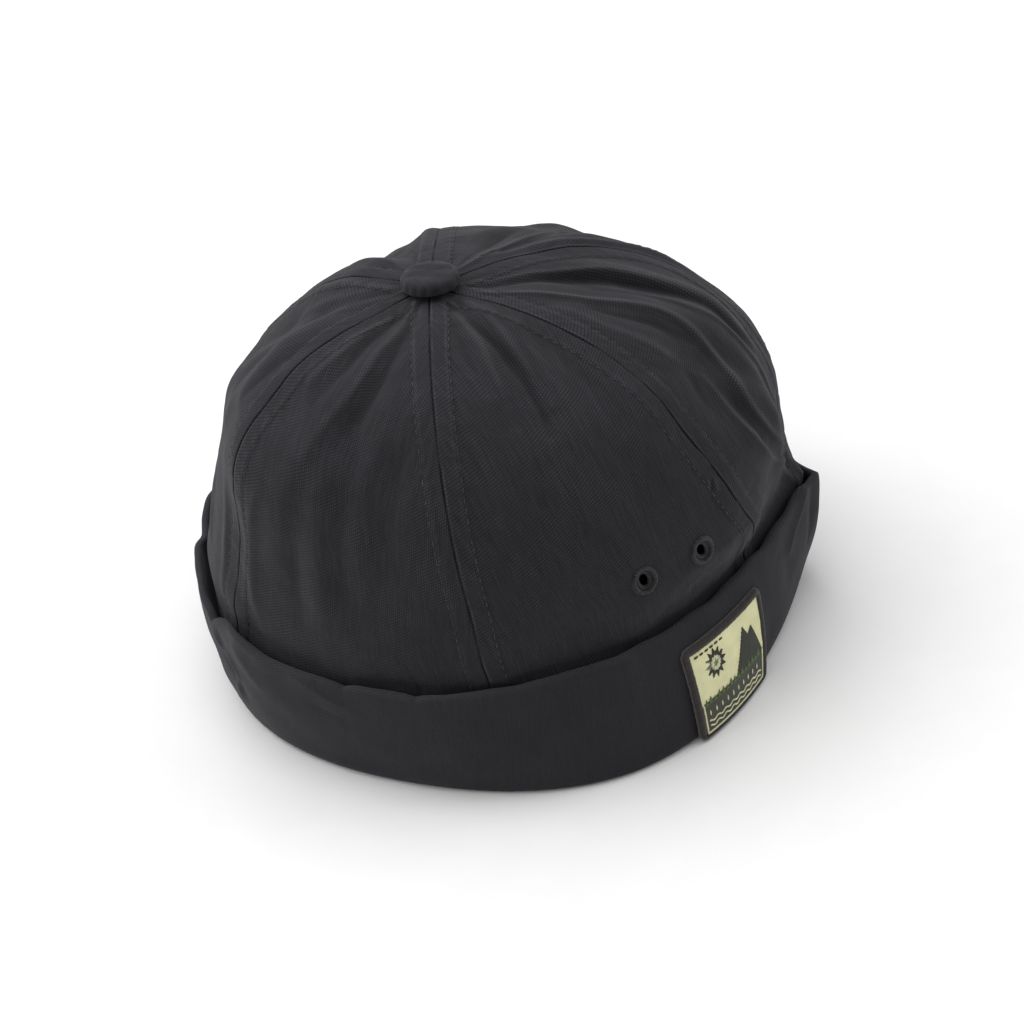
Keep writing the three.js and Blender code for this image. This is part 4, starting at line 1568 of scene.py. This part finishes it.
    def _wear(self) -> Array:
        """Returns abrasion and painted light: crests and a seam lip lighter, hollows and seam grooves painted
        darker.
        """
        wear = np.clip(convexity(self.outer, self.normals), -1.5, 1.5)
        for away, tight, lip in ((self.from_start, self.tight[0], 0.4), (self.from_end, self.tight[1], 0.0)):
            wear *= smooth_step((away - 0.4) / 1.4)
            # Each seam's groove gets a painted shadow line, and the lip beside the start seam a painted
            # highlight.
            wear += tight * (lip * bell((away - 0.75) / 0.3) - 0.45 * bell(away / 0.3))
        return wear

    def build(self, place: Place, material: Material) -> bpy.types.Object:
        """Makes the panel as a closed wall with its eyelet holes.

        Args:
            place: Where the cap's plan stands.
            material: The cloth's finish.

        Returns:
            The panel.
        """
        middles = self.outer[1::2, 1::2]
        kept = np.ones(middles.shape[:2], bool)
        for eyelet in self.eyelets:
            kept &= eyelet.clear_of(self, middles)
        faces = wall_faces(self.rows, self.columns, kept)
        number = float(PANEL_NAMES.index(self.name))
        grain = np.stack([self.across, self.along, np.full_like(self.across, 37.0 * number)], -1)
        wear = self._wear()
        draft = Draft(
            np.concatenate([self.outer.reshape(-1, 3), self.inner.reshape(-1, 3)]),
            faces,
            {"weave": np.concatenate([grain.reshape(-1, 3), grain[::2, ::2].reshape(-1, 3)])},
            {"wear": np.concatenate([wear.ravel(), -wear[::2, ::2].ravel()])},
        ).trimmed()
        piece = draft.make(self.name + "_twill", place, material)
        seat(piece, Slot.CROWN, self.name)
        return piece


@dataclass
class Crown:
    """The six panels, their topstitching and their eyelets."""

    form: CrownForm
    stitching: Topstitching = Topstitching()
    eyelets: tuple[EyeletRing, ...] = (
        EyeletRing("eyelet_right_back", -83.0),
        EyeletRing("eyelet_right_front", -69.5),
        EyeletRing("eyelet_left_front", 69.5),
        EyeletRing("eyelet_left_back", 83.0),
    )

    def _carried(self, name: str) -> tuple[EyeletRing, ...]:
        """Returns the eyelets that a panel carries."""
        side = {"crown_side_right": "eyelet_right", "crown_side_left": "eyelet_left"}.get(name)
        return tuple(ring for ring in self.eyelets if side and ring.name.startswith(side))

    def build(
        self, place: Place, cloth: Material, thread: Material, edge: Material
    ) -> None:
        """Makes the crown.

        Args:
            place: Where the cap's plan stands.
            cloth: The panels' finish.
            thread: The finish of the stitches and the eyelets.
            edge: The finish of the eyelets' turned edges, dark as painted shade in their recesses.
        """
        panels = [
            CrownPanel(name, start, end, self.form, self.stitching, self._carried(name))
            for name, start, end in zip(PANEL_NAMES, SEAMS, SEAMS[1:] + SEAMS[:1], strict=True)
        ]
        for panel in panels:
            panel.build(place, cloth)
            for ring in panel.eyelets:
                ring.build(panel, place, thread, edge)
        for number, seam in enumerate(SEAMS):
            rows = [
                panels[number - 1].stitch_rows(Side.BEFORE, 100 + number),
                panels[number].stitch_rows(Side.AFTER, 110 + number),
            ]
            piece = Draft.joined(rows).make(f"topstitching_{seam.name}", place, thread)
            seat(piece, Slot.EYELET)


# The heights of the section's corners, as shares of the rim's height and of the fold's height.
CUFF_RINGS = (0.22, 0.36, 0.5, 0.64, 0.78, 0.9)
FOLD_RINGS = (0.0, 0.08, 0.25, 0.55, 1.0)


@dataclass
class Cuff:
    """The turned-up cuff, a closed ring of cloth."""

    form: CuffForm
    patch: "Patch"
    steps: int = 600
    ring: int = 118
    wave: Unevenness = Unevenness(21, 42.0, 0.4)
    scallop: Unevenness = Unevenness(22, 15.0, 0.22)
    drape: Unevenness = Unevenness(23, 26.0, 0.1)
    grain: Unevenness = Unevenness(24, 7.0, 0.015)
    # How strongly the cuff's crests are painted lighter and its hollows painted darker.
    rubbed_and_painted_light: float = 0.4
    smooth_foot: float = 5.0
    grain_place: float = 301.0

    def _keys(self, at: Array) -> Array:
        """Returns the corners of the section at each angle as distances out and heights."""
        form = self.form
        rim = form.rim_height(at)
        level = np.ones_like(at)
        rings = [rim * share for share in CUFF_RINGS]

        def face(height: Array, inwards: float = 0.0) -> tuple[Array, Array]:
            """Returns a corner on the outer leg, moved inwards."""
            return form.out(at, height) - inwards, height

        def groove(height: float, inwards: float = 0.0) -> tuple[Array, Array]:
            """Returns a corner on the inner leg, moved inwards."""
            return form.groove_out(at, height * level) - inwards, height * level

        fold = [form.fold_height * share for share in FOLD_RINGS]
        corners = [face(height * level) for height in fold]
        corners += [face(height) for height in rings]
        corners += [
            face(rim - form.rim_round),
            face(rim - 0.4, 0.15),
            face(rim, form.rim_bevel),
            face(rim, form.wall - form.rim_bevel),
            face(rim - 0.4, form.wall - 0.15),
            face(rim - form.rim_round, form.wall),
        ]
        corners += [face(height, form.wall) for height in reversed(rings)]
        corners += [
            (form.out(at, form.fold_height * level) - form.wall, (form.floor + 0.4) * level),
            (form.groove_out(at, form.fold_height * level), form.floor * level),
            groove(form.inner_top * 0.6),
            groove(form.inner_top),
            groove(form.inner_top, form.inner_wall),
            groove(form.inner_top * 0.6, form.inner_wall),
            groove(form.fold_height, form.inner_wall),
            (form.groove_out(at, level) - form.inner_wall + form.tuck(1.0, form.inner_tuck), level),
            (form.groove_out(at, 0 * level) - form.inner_wall + form.inner_tuck, 0 * level),
        ]
        return np.stack([np.stack(np.broadcast_arrays(*corner), -1) for corner in corners], 1)

    def _creases(self, angles: Array, height: Array) -> Array:
        """Returns the relief of the cuff's creases."""
        middle = self.form.corner.at + 180.0
        millimetres = math.radians(self.form.plan.half_length)
        total = np.zeros(angles.shape)
        for crease in CREASES:
            if crease.panel == "cuff":
                path = np.array(crease.path)
                knots = np.stack([turn(path[:, 0], middle) * millimetres, path[:, 1]], -1)
                total += crease.over((angles - middle) * millimetres, height, knots)
        return total

    def _sections(self, at: Array) -> Array:
        """Returns the rounded section at each angle, its points evenly apart."""
        keys = self._keys(at)
        for _ in range(3):
            after = np.roll(keys, -1, axis=1)
            keys = np.stack([0.75 * keys + 0.25 * after, 0.25 * keys + 0.75 * after], 2)
            keys = keys.reshape(len(at), -1, 2)
        closed = np.concatenate([keys, keys[:, :1]], 1)
        lengths = run_along(closed)
        share = np.linspace(0.0, 1.0, self.ring, endpoint=False)
        return np.stack(
            [pick_along(share * total[-1], total, line) for total, line in zip(lengths, closed, strict=True)]
        )

    def build(self, place: Place, material: Material) -> bpy.types.Object:
        """Makes the cuff.

        Args:
            place: Where the cap's plan stands.
            material: The cloth's finish.

        Returns:
            The cuff.
        """
        at = np.linspace(0.0, 360.0, self.steps, endpoint=False) + self.form.corner.at
        sections = self._sections(at)
        angles = np.broadcast_to(at[:, None], sections.shape[:2])
        out, height = sections[..., 0], sections[..., 1]
        flat = self.form.plan.point(angles, out, height)
        rim = self.form.rim_height(at)[:, None]
        share = np.clip(height / rim, 0.0, 1.0)
        outside = smooth_step((out - self.form.groove_out(angles, height) + 0.4) / 1.0)
        soft = 1 - self.patch.cover(angles, height)
        ribbon = self.form.plan.point(angles, 0.0 * out, 0.35 * height)
        push = (self.wave.over(ribbon) * share + self.scallop.over(ribbon) * share**3) * outside * soft
        lift = self.scallop.over(ribbon + 300.0) * share**3 * outside * soft
        flat = self.form.plan.point(angles, out + push, height + lift)
        grid = np.swapaxes(flat, 0, 1)
        normals = -unit(
            np.cross(np.roll(grid, -1, 0) - np.roll(grid, 1, 0), np.roll(grid, -1, 1) - np.roll(grid, 1, 1))
        )
        normals = -normals if (normals * (grid - grid.mean(0))).sum() < 0 else normals
        rubbing = smooth_step(height / self.smooth_foot) * outside * soft
        draped = self.drape.over(flat * np.array([1.0, 1.0, 2.2]))
        fine = draped + self.grain.over(flat) + self._creases(angles, height)
        grid = grid + normals * np.swapaxes(fine * rubbing, 0, 1)[..., None]
        # Painted light: crests lighter as abrasion with painted highlight, folds and hollows darker as
        # painted shade.
        wear = self.rubbed_and_painted_light * np.clip(convexity(grid, normals), -1.5, 1.5)
        round_the_cap = run_along(self.form.plan.point(at, 0.0 * at, 0.0 * at))
        up_the_ring = run_along(sections)
        across = np.broadcast_to(round_the_cap[:, None], angles.shape)
        weave = np.stack([across, up_the_ring, np.full_like(angles, self.grain_place)], -1)
        number = np.arange(self.ring * self.steps).reshape(self.ring, self.steps)
        over, up = np.roll(number, -1, 1), np.roll(number, -1, 0)
        faces = np.stack([number, over, np.roll(over, -1, 0), up], -1).reshape(-1, 4)
        draft = Draft(
            grid.reshape(-1, 3),
            [faces],
            {"weave": np.swapaxes(weave, 0, 1).reshape(-1, 3)},
            {"wear": wear.ravel()},
        )
        piece = draft.make("cuff_twill", place, material)
        seat(piece, Slot.CUFF, "cuff")
        return piece


# The button's underside: the distance from its middle as a share of its radius, and the height.
UNDER_BUTTON = ((0.0, 0.9), (0.5, 0.45), (0.75, 0.2), (0.9, 0.1), (0.97, 0.3), (0.995, 0.8))


@dataclass
class TopButton:
    """The button, covered with the crown's own cloth."""

    crown: CrownForm
    radius: float = 9.4
    height: float = 5.6
    lift: float = 0.4
    edge: float = 1.8
    fullness: float = 0.3
    shoulder: float = 0.8
    tilt: float = 8.0
    tilt_to: float = -105.0
    rings: int = 60
    sectors: int = 144
    gathers: int = 17
    gather_width: float = 0.09
    gather_depth: float = 0.012
    grain_place: float = 411.0

    def build(self, place: Place, material: Material) -> bpy.types.Object:
        """Makes the domed button with the soft gathers at its edge.

        Args:
            place: Where the cap's plan stands.
            material: The cloth's finish.

        Returns:
            The button.
        """
        turns = np.linspace(0.0, 2 * math.pi, self.sectors, endpoint=False)
        rise = np.linspace(0.0, math.pi / 2, self.rings)
        high = self.edge + (self.height - self.edge) * np.sin(rise) ** self.shoulder
        dome = np.stack([self.radius * np.cos(rise) ** self.fullness, high], -1)
        under = np.array(UNDER_BUTTON) * np.array([self.radius, 1.0])
        profile = np.concatenate([under, dome])
        away = profile[:, 0:1]
        grid = np.stack(
            [
                away * np.cos(turns),
                away * np.sin(turns),
                np.broadcast_to(profile[:, 1:2], (len(profile), self.sectors)),
            ],
            -1,
        )
        edge = bell((away / self.radius - 1.0) / self.gather_width)
        gather = np.cos(self.gathers * turns + 1.7 * np.sin(2 * turns) + np.sin(3 * turns))
        grid[..., :2] *= (1 + self.gather_depth * edge * gather)[..., None]
        grid[..., 2] += Unevenness(31, 7.0, 0.1).over(grid) * smooth_step(grid[..., 2] / 3.0)
        weave = np.stack([grid[..., 0], grid[..., 1] * 1.05, np.full(grid.shape[:2], self.grain_place)], -1)
        weave[..., :2] += unit(grid[..., :2] + 1e-9) * (self.height - grid[..., 2:3])
        tilted = math.sin(math.radians(self.tilt))
        heading = math.radians(self.tilt_to)
        slope = grid[..., 0] * math.cos(heading) + grid[..., 1] * math.sin(heading)
        grid[..., 2] += tilted * slope
        crown = self.crown
        grid += np.array([crown.lean_x + crown.eye_x, crown.lean_y + crown.eye_y, crown.top + self.lift])
        number = np.arange(grid.shape[0] * self.sectors).reshape(grid.shape[:2])
        over = np.roll(number, -1, 1)
        faces = np.stack([number[:-1], over[:-1], over[1:], number[1:]], -1).reshape(-1, 4)
        # Painted light: the gathers' hollows are painted darker as shade, their crests lighter.
        wear = np.clip(convexity(grid, grid_normals(grid, True)), -0.3, 0.3)
        draft = Draft(grid.reshape(-1, 3), [faces], {"weave": weave.reshape(-1, 3)}, {"wear": wear.ravel()})
        piece = draft.make("top_button_twill", place, material)
        seat(piece, Slot.BUTTON, "top_button")
        return piece


@dataclass(frozen=True)
class SatinFill:
    """A shape on the patch filled with threads side by side.

    Attributes:
        outline: The corners as across and up.
        heading: The threads' direction in degrees.
        pitch: The distance between threads.
    """

    outline: Pairs
    heading: float = 0.0
    pitch: float = 0.34

    def runs(self) -> Array:
        """Returns the two ends of each thread, across and up."""
        turn_back = np.array(
            [
                [math.cos(math.radians(self.heading)), math.sin(math.radians(self.heading))],
                [-math.sin(math.radians(self.heading)), math.cos(math.radians(self.heading))],
            ]
        )
        corners = np.array(self.outline) @ turn_back.T
        runs = []
        for level in np.arange(corners[:, 1].min() + self.pitch / 2, corners[:, 1].max(), self.pitch):
            crossings = []
            for first, second in zip(corners, np.roll(corners, -1, 0), strict=True):
                if (first[1] - level) * (second[1] - level) < 0:
                    share = (level - first[1]) / (second[1] - first[1])
                    crossings.append(first[0] + share * (second[0] - first[0]))
            crossings.sort()
            ends = zip(crossings[::2], crossings[1::2], strict=True)
            runs += [((low, level), (high, level)) for low, high in ends]
        return np.array(runs) @ turn_back


@dataclass(frozen=True)
class SatinLine:
    """A line on the patch, stitched across."""

    path: Pairs
    width: float
    pitch: float = 0.34

    def runs(self) -> Array:
        """Returns the two ends of each thread, across and up."""
        path = np.array(self.path)
        lengths = run_along(path)
        places = np.arange(self.pitch / 2, lengths[-1], self.pitch)
        middles = pick_along(places, lengths, path)
        ahead = unit(np.gradient(middles, axis=0))
        aside = np.stack([-ahead[:, 1], ahead[:, 0]], -1) * self.width / 2
        return np.stack([middles - aside, middles + aside], 1)


def star(x: float, y: float, points: int, outer: float, inner: float) -> Pairs:
    """Returns the corners of a star."""
    corners = []
    for step in range(2 * points):
        angle = math.pi * step / points + math.pi / 2
        radius = inner if step % 2 else outer
        corners.append((x + radius * math.cos(angle), y + radius * math.sin(angle)))
    return tuple(corners)


def bar(x: float, y: float, width: float, height: float) -> Pairs:
    """Returns the corners of an upright rectangle from its lower left corner."""
    return ((x, y), (x + width, y), (x + width, y + height), (x, y + height))


def wave_line(start: float, end: float, y: float, length: float, height: float) -> Pairs:
    """Returns a row of waves from start to end."""
    xs = np.linspace(start, end, 60)
    return tuple((float(x), float(y + height * math.sin(2 * math.pi * x / length))) for x in xs)


@dataclass
class Patch:
    """The small woven patch with its overlocked border."""

    cuff: CuffForm
    at: float = -64.3
    low: float = 0.6
    width: float = 42.0
    height: float = 33.9
    corner: float = 3.0
    thick: float = 1.0
    border: float = 2.8
    border_thick: float = 1.4
    clear: float = 0.15
    meeting: float = 11.4
    taper: float = 0.13
    slant: float = 0.06
    stand: float = 1.0
    foot_border: float = 1.2
    border_wraps: int = 300
    border_thread: float = 0.27
    motif_thread: float = 0.19

    def cover(self, at: Array, height: Array) -> Array:
        """Returns where the stiff patch smooths the cloth under it, from 0 to 1."""
        across = np.radians(turn(at, self.at)) * self.cuff.plan.half_width
        beside = smooth_step((self.width / 2 + 6.0 - np.abs(across)) / 6.0)
        return beside * smooth_step((self.low + self.height + 5.0 - height) / 5.0)

    def on_cuff(self, across: Array, up: Array, clear: Array | float) -> Array:
        """Places points over the cuff's outer face.

        Args:
            across: Millimetres from the patch's middle, to the right as it is read.
            up: Millimetres from its foot.
            clear: Millimetres away from the cuff.

        Returns:
            The points in space.
        """
        height = self.low + np.asarray(up, float)
        down = self.height - np.asarray(up, float)
        moved = np.asarray(across, float) * (1 - self.taper * down / self.height) - self.slant * down
        at = self.at + np.degrees(moved / self.cuff.plan.half_width)

        def face(angle: Array, level: Array) -> Array:
            """Returns points of the stiff patch's back at angles and heights."""
            stiff = self.cuff.tuck(level, self.cuff.outer_tuck)
            stiff = stiff + self.stand * (1 - (level - self.low) / self.height)
            return self.cuff.plan.point(angle, self.cuff.out(angle, level) + stiff, level)

        around = face(at + 0.4, height) - face(at - 0.4, height)
        upwards = face(at, height + 0.4) - face(at, height - 0.4)
        return face(at, height) + unit(np.cross(around, upwards)) * np.asarray(clear)[..., None]

    def _ground(self, place: Place, material: Material) -> None:
        """Makes the woven ground, slightly padded."""
        inset = self.border - 0.5
        rows, columns = 91, 101
        up = np.linspace(self.foot_border - 0.5, self.height - inset, rows)[:, None] * np.ones(columns)
        across = np.linspace(-1.0, 1.0, columns) * (self.width / 2 - inset) * np.ones((rows, 1))
        puff = Unevenness(51, 9.0, 0.05).over(np.stack([across, up], -1))
        outer = self.on_cuff(across, up, self.clear + self.thick + puff)
        inner = self.on_cuff(across, up, np.full(up.shape, self.clear))[::2, ::2]
        label = np.stack([across + self.width / 2, up - self.foot_border, np.zeros_like(up)], -1)
        points = np.concatenate([outer.reshape(-1, 3), inner.reshape(-1, 3)])
        labels = np.concatenate([label.reshape(-1, 3), label[::2, ::2].reshape(-1, 3)])
        draft = Draft(points, wall_faces(rows, columns), {"label": labels})
        piece = draft.make("patch_ground", place, material)
        seat(piece, Slot.PATCH, "patch")

    def _motifs(self) -> dict[str, list[SatinFill | SatinLine]]:
        """Returns the patch's motifs by the name of their thread, measured from its middle foot."""
        left, right = -self.width / 2 + self.border, self.width / 2 - self.border
        low, high = self.foot_border, self.height - self.border
        line = low + self.meeting
        frame = ((left + 0.5, line), (left + 0.5, low + 0.5), (right - 0.5, low + 0.5), (right - 0.5, line))
        dark = [SatinFill(star(-8.4, high - 7.2, 12, 5.2, 3.4), 18.0)]
        hills = ((0.5, line), (7.4, high - 3.6), (9.8, high - 8.0), (12.2, high - 6.0), (right - 0.6, line))
        dark += [SatinFill(hills, 80.0), SatinLine(((left + 0.8, line), (right - 0.8, line)), 0.8)]
        dark += [SatinFill(bar(left + 1.6 + 2.4 * step, high - 1.6, 1.5, 0.8)) for step in range(6)]
        pale = [SatinLine(frame, 0.7), SatinFill(star(-8.4, high - 7.2, 12, 2.6, 2.3), 18.0)]
        levels = [low + 2.5 + 1.9 * row for row in range(2)]
        pale += [SatinLine(wave_line(left + 2.0, right - 2.0, level, 4.3, 0.42), 0.5) for level in levels]
        pale += [SatinFill(star(left + 3.0 + 3.15 * step, low + 7.4, 2, 0.95, 0.4)) for step in range(10)]
        green = [SatinFill(star(-8.4, high - 7.2, 6, 1.5, 0.8), -30.0)]
        for step in range(15):
            x, tip = left + 1.7 + 2.2 * step, line + 1.7 + 0.7 * math.sin(2.3 * step)
            green.append(SatinFill(((x - 0.8, line - 0.6), (x + 0.3, tip), (x + 1.0, line - 0.6)), 75.0))
        return {"dark": dark, "pale": pale, "green": green}

    def _embroidery(self, place: Place, finishes: dict[str, Material]) -> None:
        """Stitches the motifs on the ground."""
        share = np.linspace(0.0, 1.0, 7)
        for layer, (name, motifs) in enumerate(self._motifs().items()):
            runs = np.concatenate([motif.runs() for motif in motifs])
            flat = runs[:, :1] + (runs[:, 1:] - runs[:, :1]) * share[:, None]
            rise = self.clear + self.thick + 0.1 * np.sin(math.pi * share) ** 0.4 + 0.07 * layer
            clear = np.broadcast_to(rise, flat.shape[:2])
            paths = self.on_cuff(flat[..., 0], flat[..., 1], clear)
            ups = unit(self.on_cuff(flat[..., 0], flat[..., 1], clear + 1.0) - paths)
            stitches = threads(paths, ups, self.motif_thread, 6, 0.7)
            piece = stitches.make(f"patch_motifs_{name}", place, finishes[name])
            seat(piece, Slot.PATCH)

    def _outline(self, inset: float, steps: int) -> tuple[Array, Array]:
        """Returns points and outward directions of the round-cornered outline."""
        corner = self.corner - inset
        right, top = self.width / 2 - self.corner, self.height - self.corner
        centres = ((right, self.corner, -90), (right, top, 0), (-right, top, 90), (-right, self.corner, 180))
        points, outs = [], []
        for x, y, start in centres:
            angles = np.radians(start + np.linspace(0.0, 90.0, 13))
            heading = np.stack([np.cos(angles), np.sin(angles)], -1)
            points.append(np.array([x, y]) + heading * corner)
            outs.append(heading)
        line = np.concatenate([*points, points[0][:1]])
        out = np.concatenate([*outs, outs[0][:1]])
        lengths = run_along(line)
        places = np.linspace(0.0, lengths[-1], steps, endpoint=False)
        return pick_along(places, lengths, line), unit(pick_along(places, lengths, out))

    def _border(self, place: Place, material: Material) -> None:
        """Wraps the border with threads that lie close side by side."""
        draw = np.random.default_rng(52)
        half = self.border / 2
        wraps = self.border_wraps
        edge, out = self._outline(0.0, wraps)
        narrow = 1 - (1 - self.foot_border / self.border) * smooth_step(-out[:, 1:])
        middle = edge - out * half * narrow
        along = np.stack([-out[:, 1], out[:, 0]], -1)
        section = np.linspace(-0.12 * math.pi, 1.12 * math.pi, 12)
        loose = 1 + draw.normal(0.0, 0.03, wraps)
        reach = half * narrow * np.cos(section) * loose[:, None]
        slant = 0.55 * np.cos(section)
        flat = middle[:, None] + out[:, None] * reach[..., None] + along[:, None] * slant[:, None]
        clear = self.clear + 0.1 + (self.border_thick - 0.1) * np.sin(section).clip(-0.2) * loose[:, None]
        paths = self.on_cuff(flat[..., 0], flat[..., 1], clear)
        hub = self.on_cuff(middle[:, 0], middle[:, 1], np.full(wraps, self.clear))
        draft = threads(paths, unit(paths - hub[:, None]), self.border_thread, 6)
        core = np.concatenate([middle[::2], middle[:1]])
        path = self.on_cuff(core[:, 0], core[:, 1], np.full(len(core), self.clear + 0.55))
        ups = unit(self.on_cuff(core[:, 0], core[:, 1], np.full(len(core), 3.0)) - path)
        filling = threads(path[None], ups[None], self.foot_border * 0.45, 10, 0.75)
        piece = Draft.joined([draft, filling]).make("patch_border_overlock", place, material)
        seat(piece, Slot.BORDER, "patch_border")

    def build(
        self,
        place: Place,
        ground: Material,
        border: Material,
        finishes: dict[str, Material],
    ) -> None:
        """Makes the patch.

        Args:
            place: Where the cap's plan stands.
            ground: The woven ground's finish.
            border: The border thread's finish.
            finishes: The motif threads' finishes by name.
        """
        self._ground(place, ground)
        self._embroidery(place, finishes)
        self._border(place, border)


@dataclass(frozen=True)
class Lamp:
    """A soft light that looks at the cap.

    Attributes:
        name: Its name.
        side: Its angle round the cap, as the camera's.
        up: Its angle above the table.
        away: Its distance in metres.
        size: Its side in metres.
        power: Its power in watts.
    """

    name: str
    side: float
    up: float
    away: float
    size: float
    power: float

    def build(self, aim: Array) -> None:
        """Hangs the light."""
        side, up = math.radians(self.side), math.radians(self.up)
        back = np.array([math.sin(side) * math.cos(up), -math.cos(side) * math.cos(up), math.sin(up)])
        light = bpy.data.lights.new(self.name, "AREA")
        light.shape = "SQUARE"
        light.size = self.size
        light.energy = self.power
        lamp = bpy.data.objects.new(self.name, light)
        lamp.matrix_world = look(aim + back * self.away, back, 0.0)
        bpy.context.scene.collection.objects.link(lamp)


def look(position: Array, back: Array, roll: float) -> Matrix:
    """Turns a camera or light so that it looks along a direction.

    Args:
        position: Where it stands, in metres.
        back: The direction from what it sees to where it stands.
        roll: How far it is turned about that direction, in degrees.

    Returns:
        Its world matrix.
    """
    right = unit(np.cross([0.0, 0.0, 1.0], back))
    up = np.cross(back, right)
    turned = math.radians(roll)
    across = right * math.cos(turned) + up * math.sin(turned)
    above = up * math.cos(turned) - right * math.sin(turned)
    matrix = np.eye(4)
    matrix[:3, 0], matrix[:3, 1], matrix[:3, 2], matrix[:3, 3] = across, above, back, position
    return Matrix(matrix.tolist())


@dataclass(frozen=True)
class Studio:
    """The pale floor, the soft lights and the camera.

    Attributes:
        side: The camera's angle round the cap.
        up: Its angle above the table.
        roll: Its turn about its own line of sight.
        away: Its distance.
        focus: Its focal length in picture widths.
        aim_right: How far its aim is to the right of the plan's middle.
        aim_height: The height of its aim.
    """

    side: float = -19.8
    up: float = 37.5
    roll: float = -7.2
    away: float = 996.2
    focus: float = 2.8803
    aim_right: float = 1.8
    aim_height: float = 41.9
    sensor: float = 36.0
    floor_half: float = 6.0
    glow: float = 0.42
    lamps: tuple[Lamp, ...] = (
        Lamp("top", side=-160.0, up=72.0, away=1.6, size=1.6, power=21.5),
        Lamp("left", side=-110.0, up=38.0, away=1.5, size=1.3, power=9.0),
        Lamp("right", side=80.0, up=35.0, away=1.6, size=0.9, power=6.0),
    )

    def build(self, place: Place, floor: Material) -> None:
        """Makes the stage, the lights and the camera.

        Args:
            place: Where the cap's plan stands.
            floor: The floor's finish.
        """
        half = self.floor_half
        mesh = bpy.data.meshes.new("floor")
        corners = [(-half, -half, 0.0), (half, -half, 0.0), (half, half, 0.0), (-half, half, 0.0)]
        mesh.from_pydata(corners, [], [(0, 1, 2, 3)])
        spots = mesh.attributes.new("floor", "FLOAT_VECTOR", "POINT")
        spots.data.foreach_set("vector", np.array(corners).ravel())
        mesh.materials.append(floor)
        stage = bpy.data.objects.new("floor", mesh)
        bpy.context.scene.collection.objects.link(stage)
        world = bpy.data.worlds.new("soft_room")
        world.use_nodes = True
        world.node_tree.nodes["Background"].inputs["Strength"].default_value = self.glow
        world.node_tree.nodes["Background"].inputs["Color"].default_value = (1.0, 1.0, 1.0, 1.0)
        bpy.context.scene.world = world
        bpy.context.scene.view_settings.view_transform = "Standard"
        aim = place.metres(np.array([0.0, 0.0, self.aim_height]))
        for lamp in self.lamps:
            lamp.build(aim)
        self._camera(place)

    def _camera(self, place: Place) -> None:
        """Sets up the camera at the photograph's angle."""
        side, up = math.radians(self.side), math.radians(self.up)
        back = np.array([math.sin(side) * math.cos(up), -math.cos(side) * math.cos(up), math.sin(up)])
        right = np.array([math.cos(side), math.sin(side), 0.0])
        aim = right * self.aim_right + np.array([0.0, 0.0, self.aim_height])
        position = place.metres(aim + back * self.away)
        lens = bpy.data.cameras.new("camera")
        lens.sensor_width = self.sensor
        lens.lens = self.focus * self.sensor
        lens.clip_start = 0.05
        camera = bpy.data.objects.new("camera", lens)
        camera.matrix_world = look(position, back, self.roll)
        bpy.context.scene.collection.objects.link(camera)
        bpy.context.scene.camera = camera


def main() -> None:
    """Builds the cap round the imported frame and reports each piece."""
    logging.basicConfig(level=logging.INFO, format="%(message)s")
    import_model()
    crown = CrownForm()
    place = Place.under_button(crown)
    Studio().build(place, FloorFinish().material())
    twill = TwillFinish("crown_twill").material()
    thread = ThreadFinish("sewing_thread", linear(49, 47, 52), spread=0.45).material()
    # The eyelets' turned edges are coloured very dark: painted shade inside the holes.
    edge = ThreadFinish("turned_edge", linear(27, 26, 29)).material()
    Crown(crown).build(place, twill, thread, edge)
    TopButton(crown).build(place, TwillFinish("button_twill", yarn=0.46, float_length=1.1).material())
    patch = Patch(crown.cuff)
    cuff_twill = TwillFinish("cuff_twill_finish", relief=0.04, contrast=0.22).material()
    Cuff(crown.cuff, patch).build(place, cuff_twill)
    motif_threads = {
        "pale": ThreadFinish("pale_thread", linear(232, 230, 190)).material(),
        "dark": ThreadFinish("dark_thread", linear(54, 57, 45)).material(),
        "green": ThreadFinish("green_thread", linear(98, 118, 68)).material(),
    }
    # The border's outer rim is paler: painted highlight.
    tip = linear(122, 118, 118)
    border = ThreadFinish("border_thread", linear(54, 48, 47), gloss=0.5, tip=tip).material()
    patch.build(place, LabelFinish("patch_weave", meeting=patch.meeting).material(), border, motif_threads)


if __name__ == "__main__":
    main()
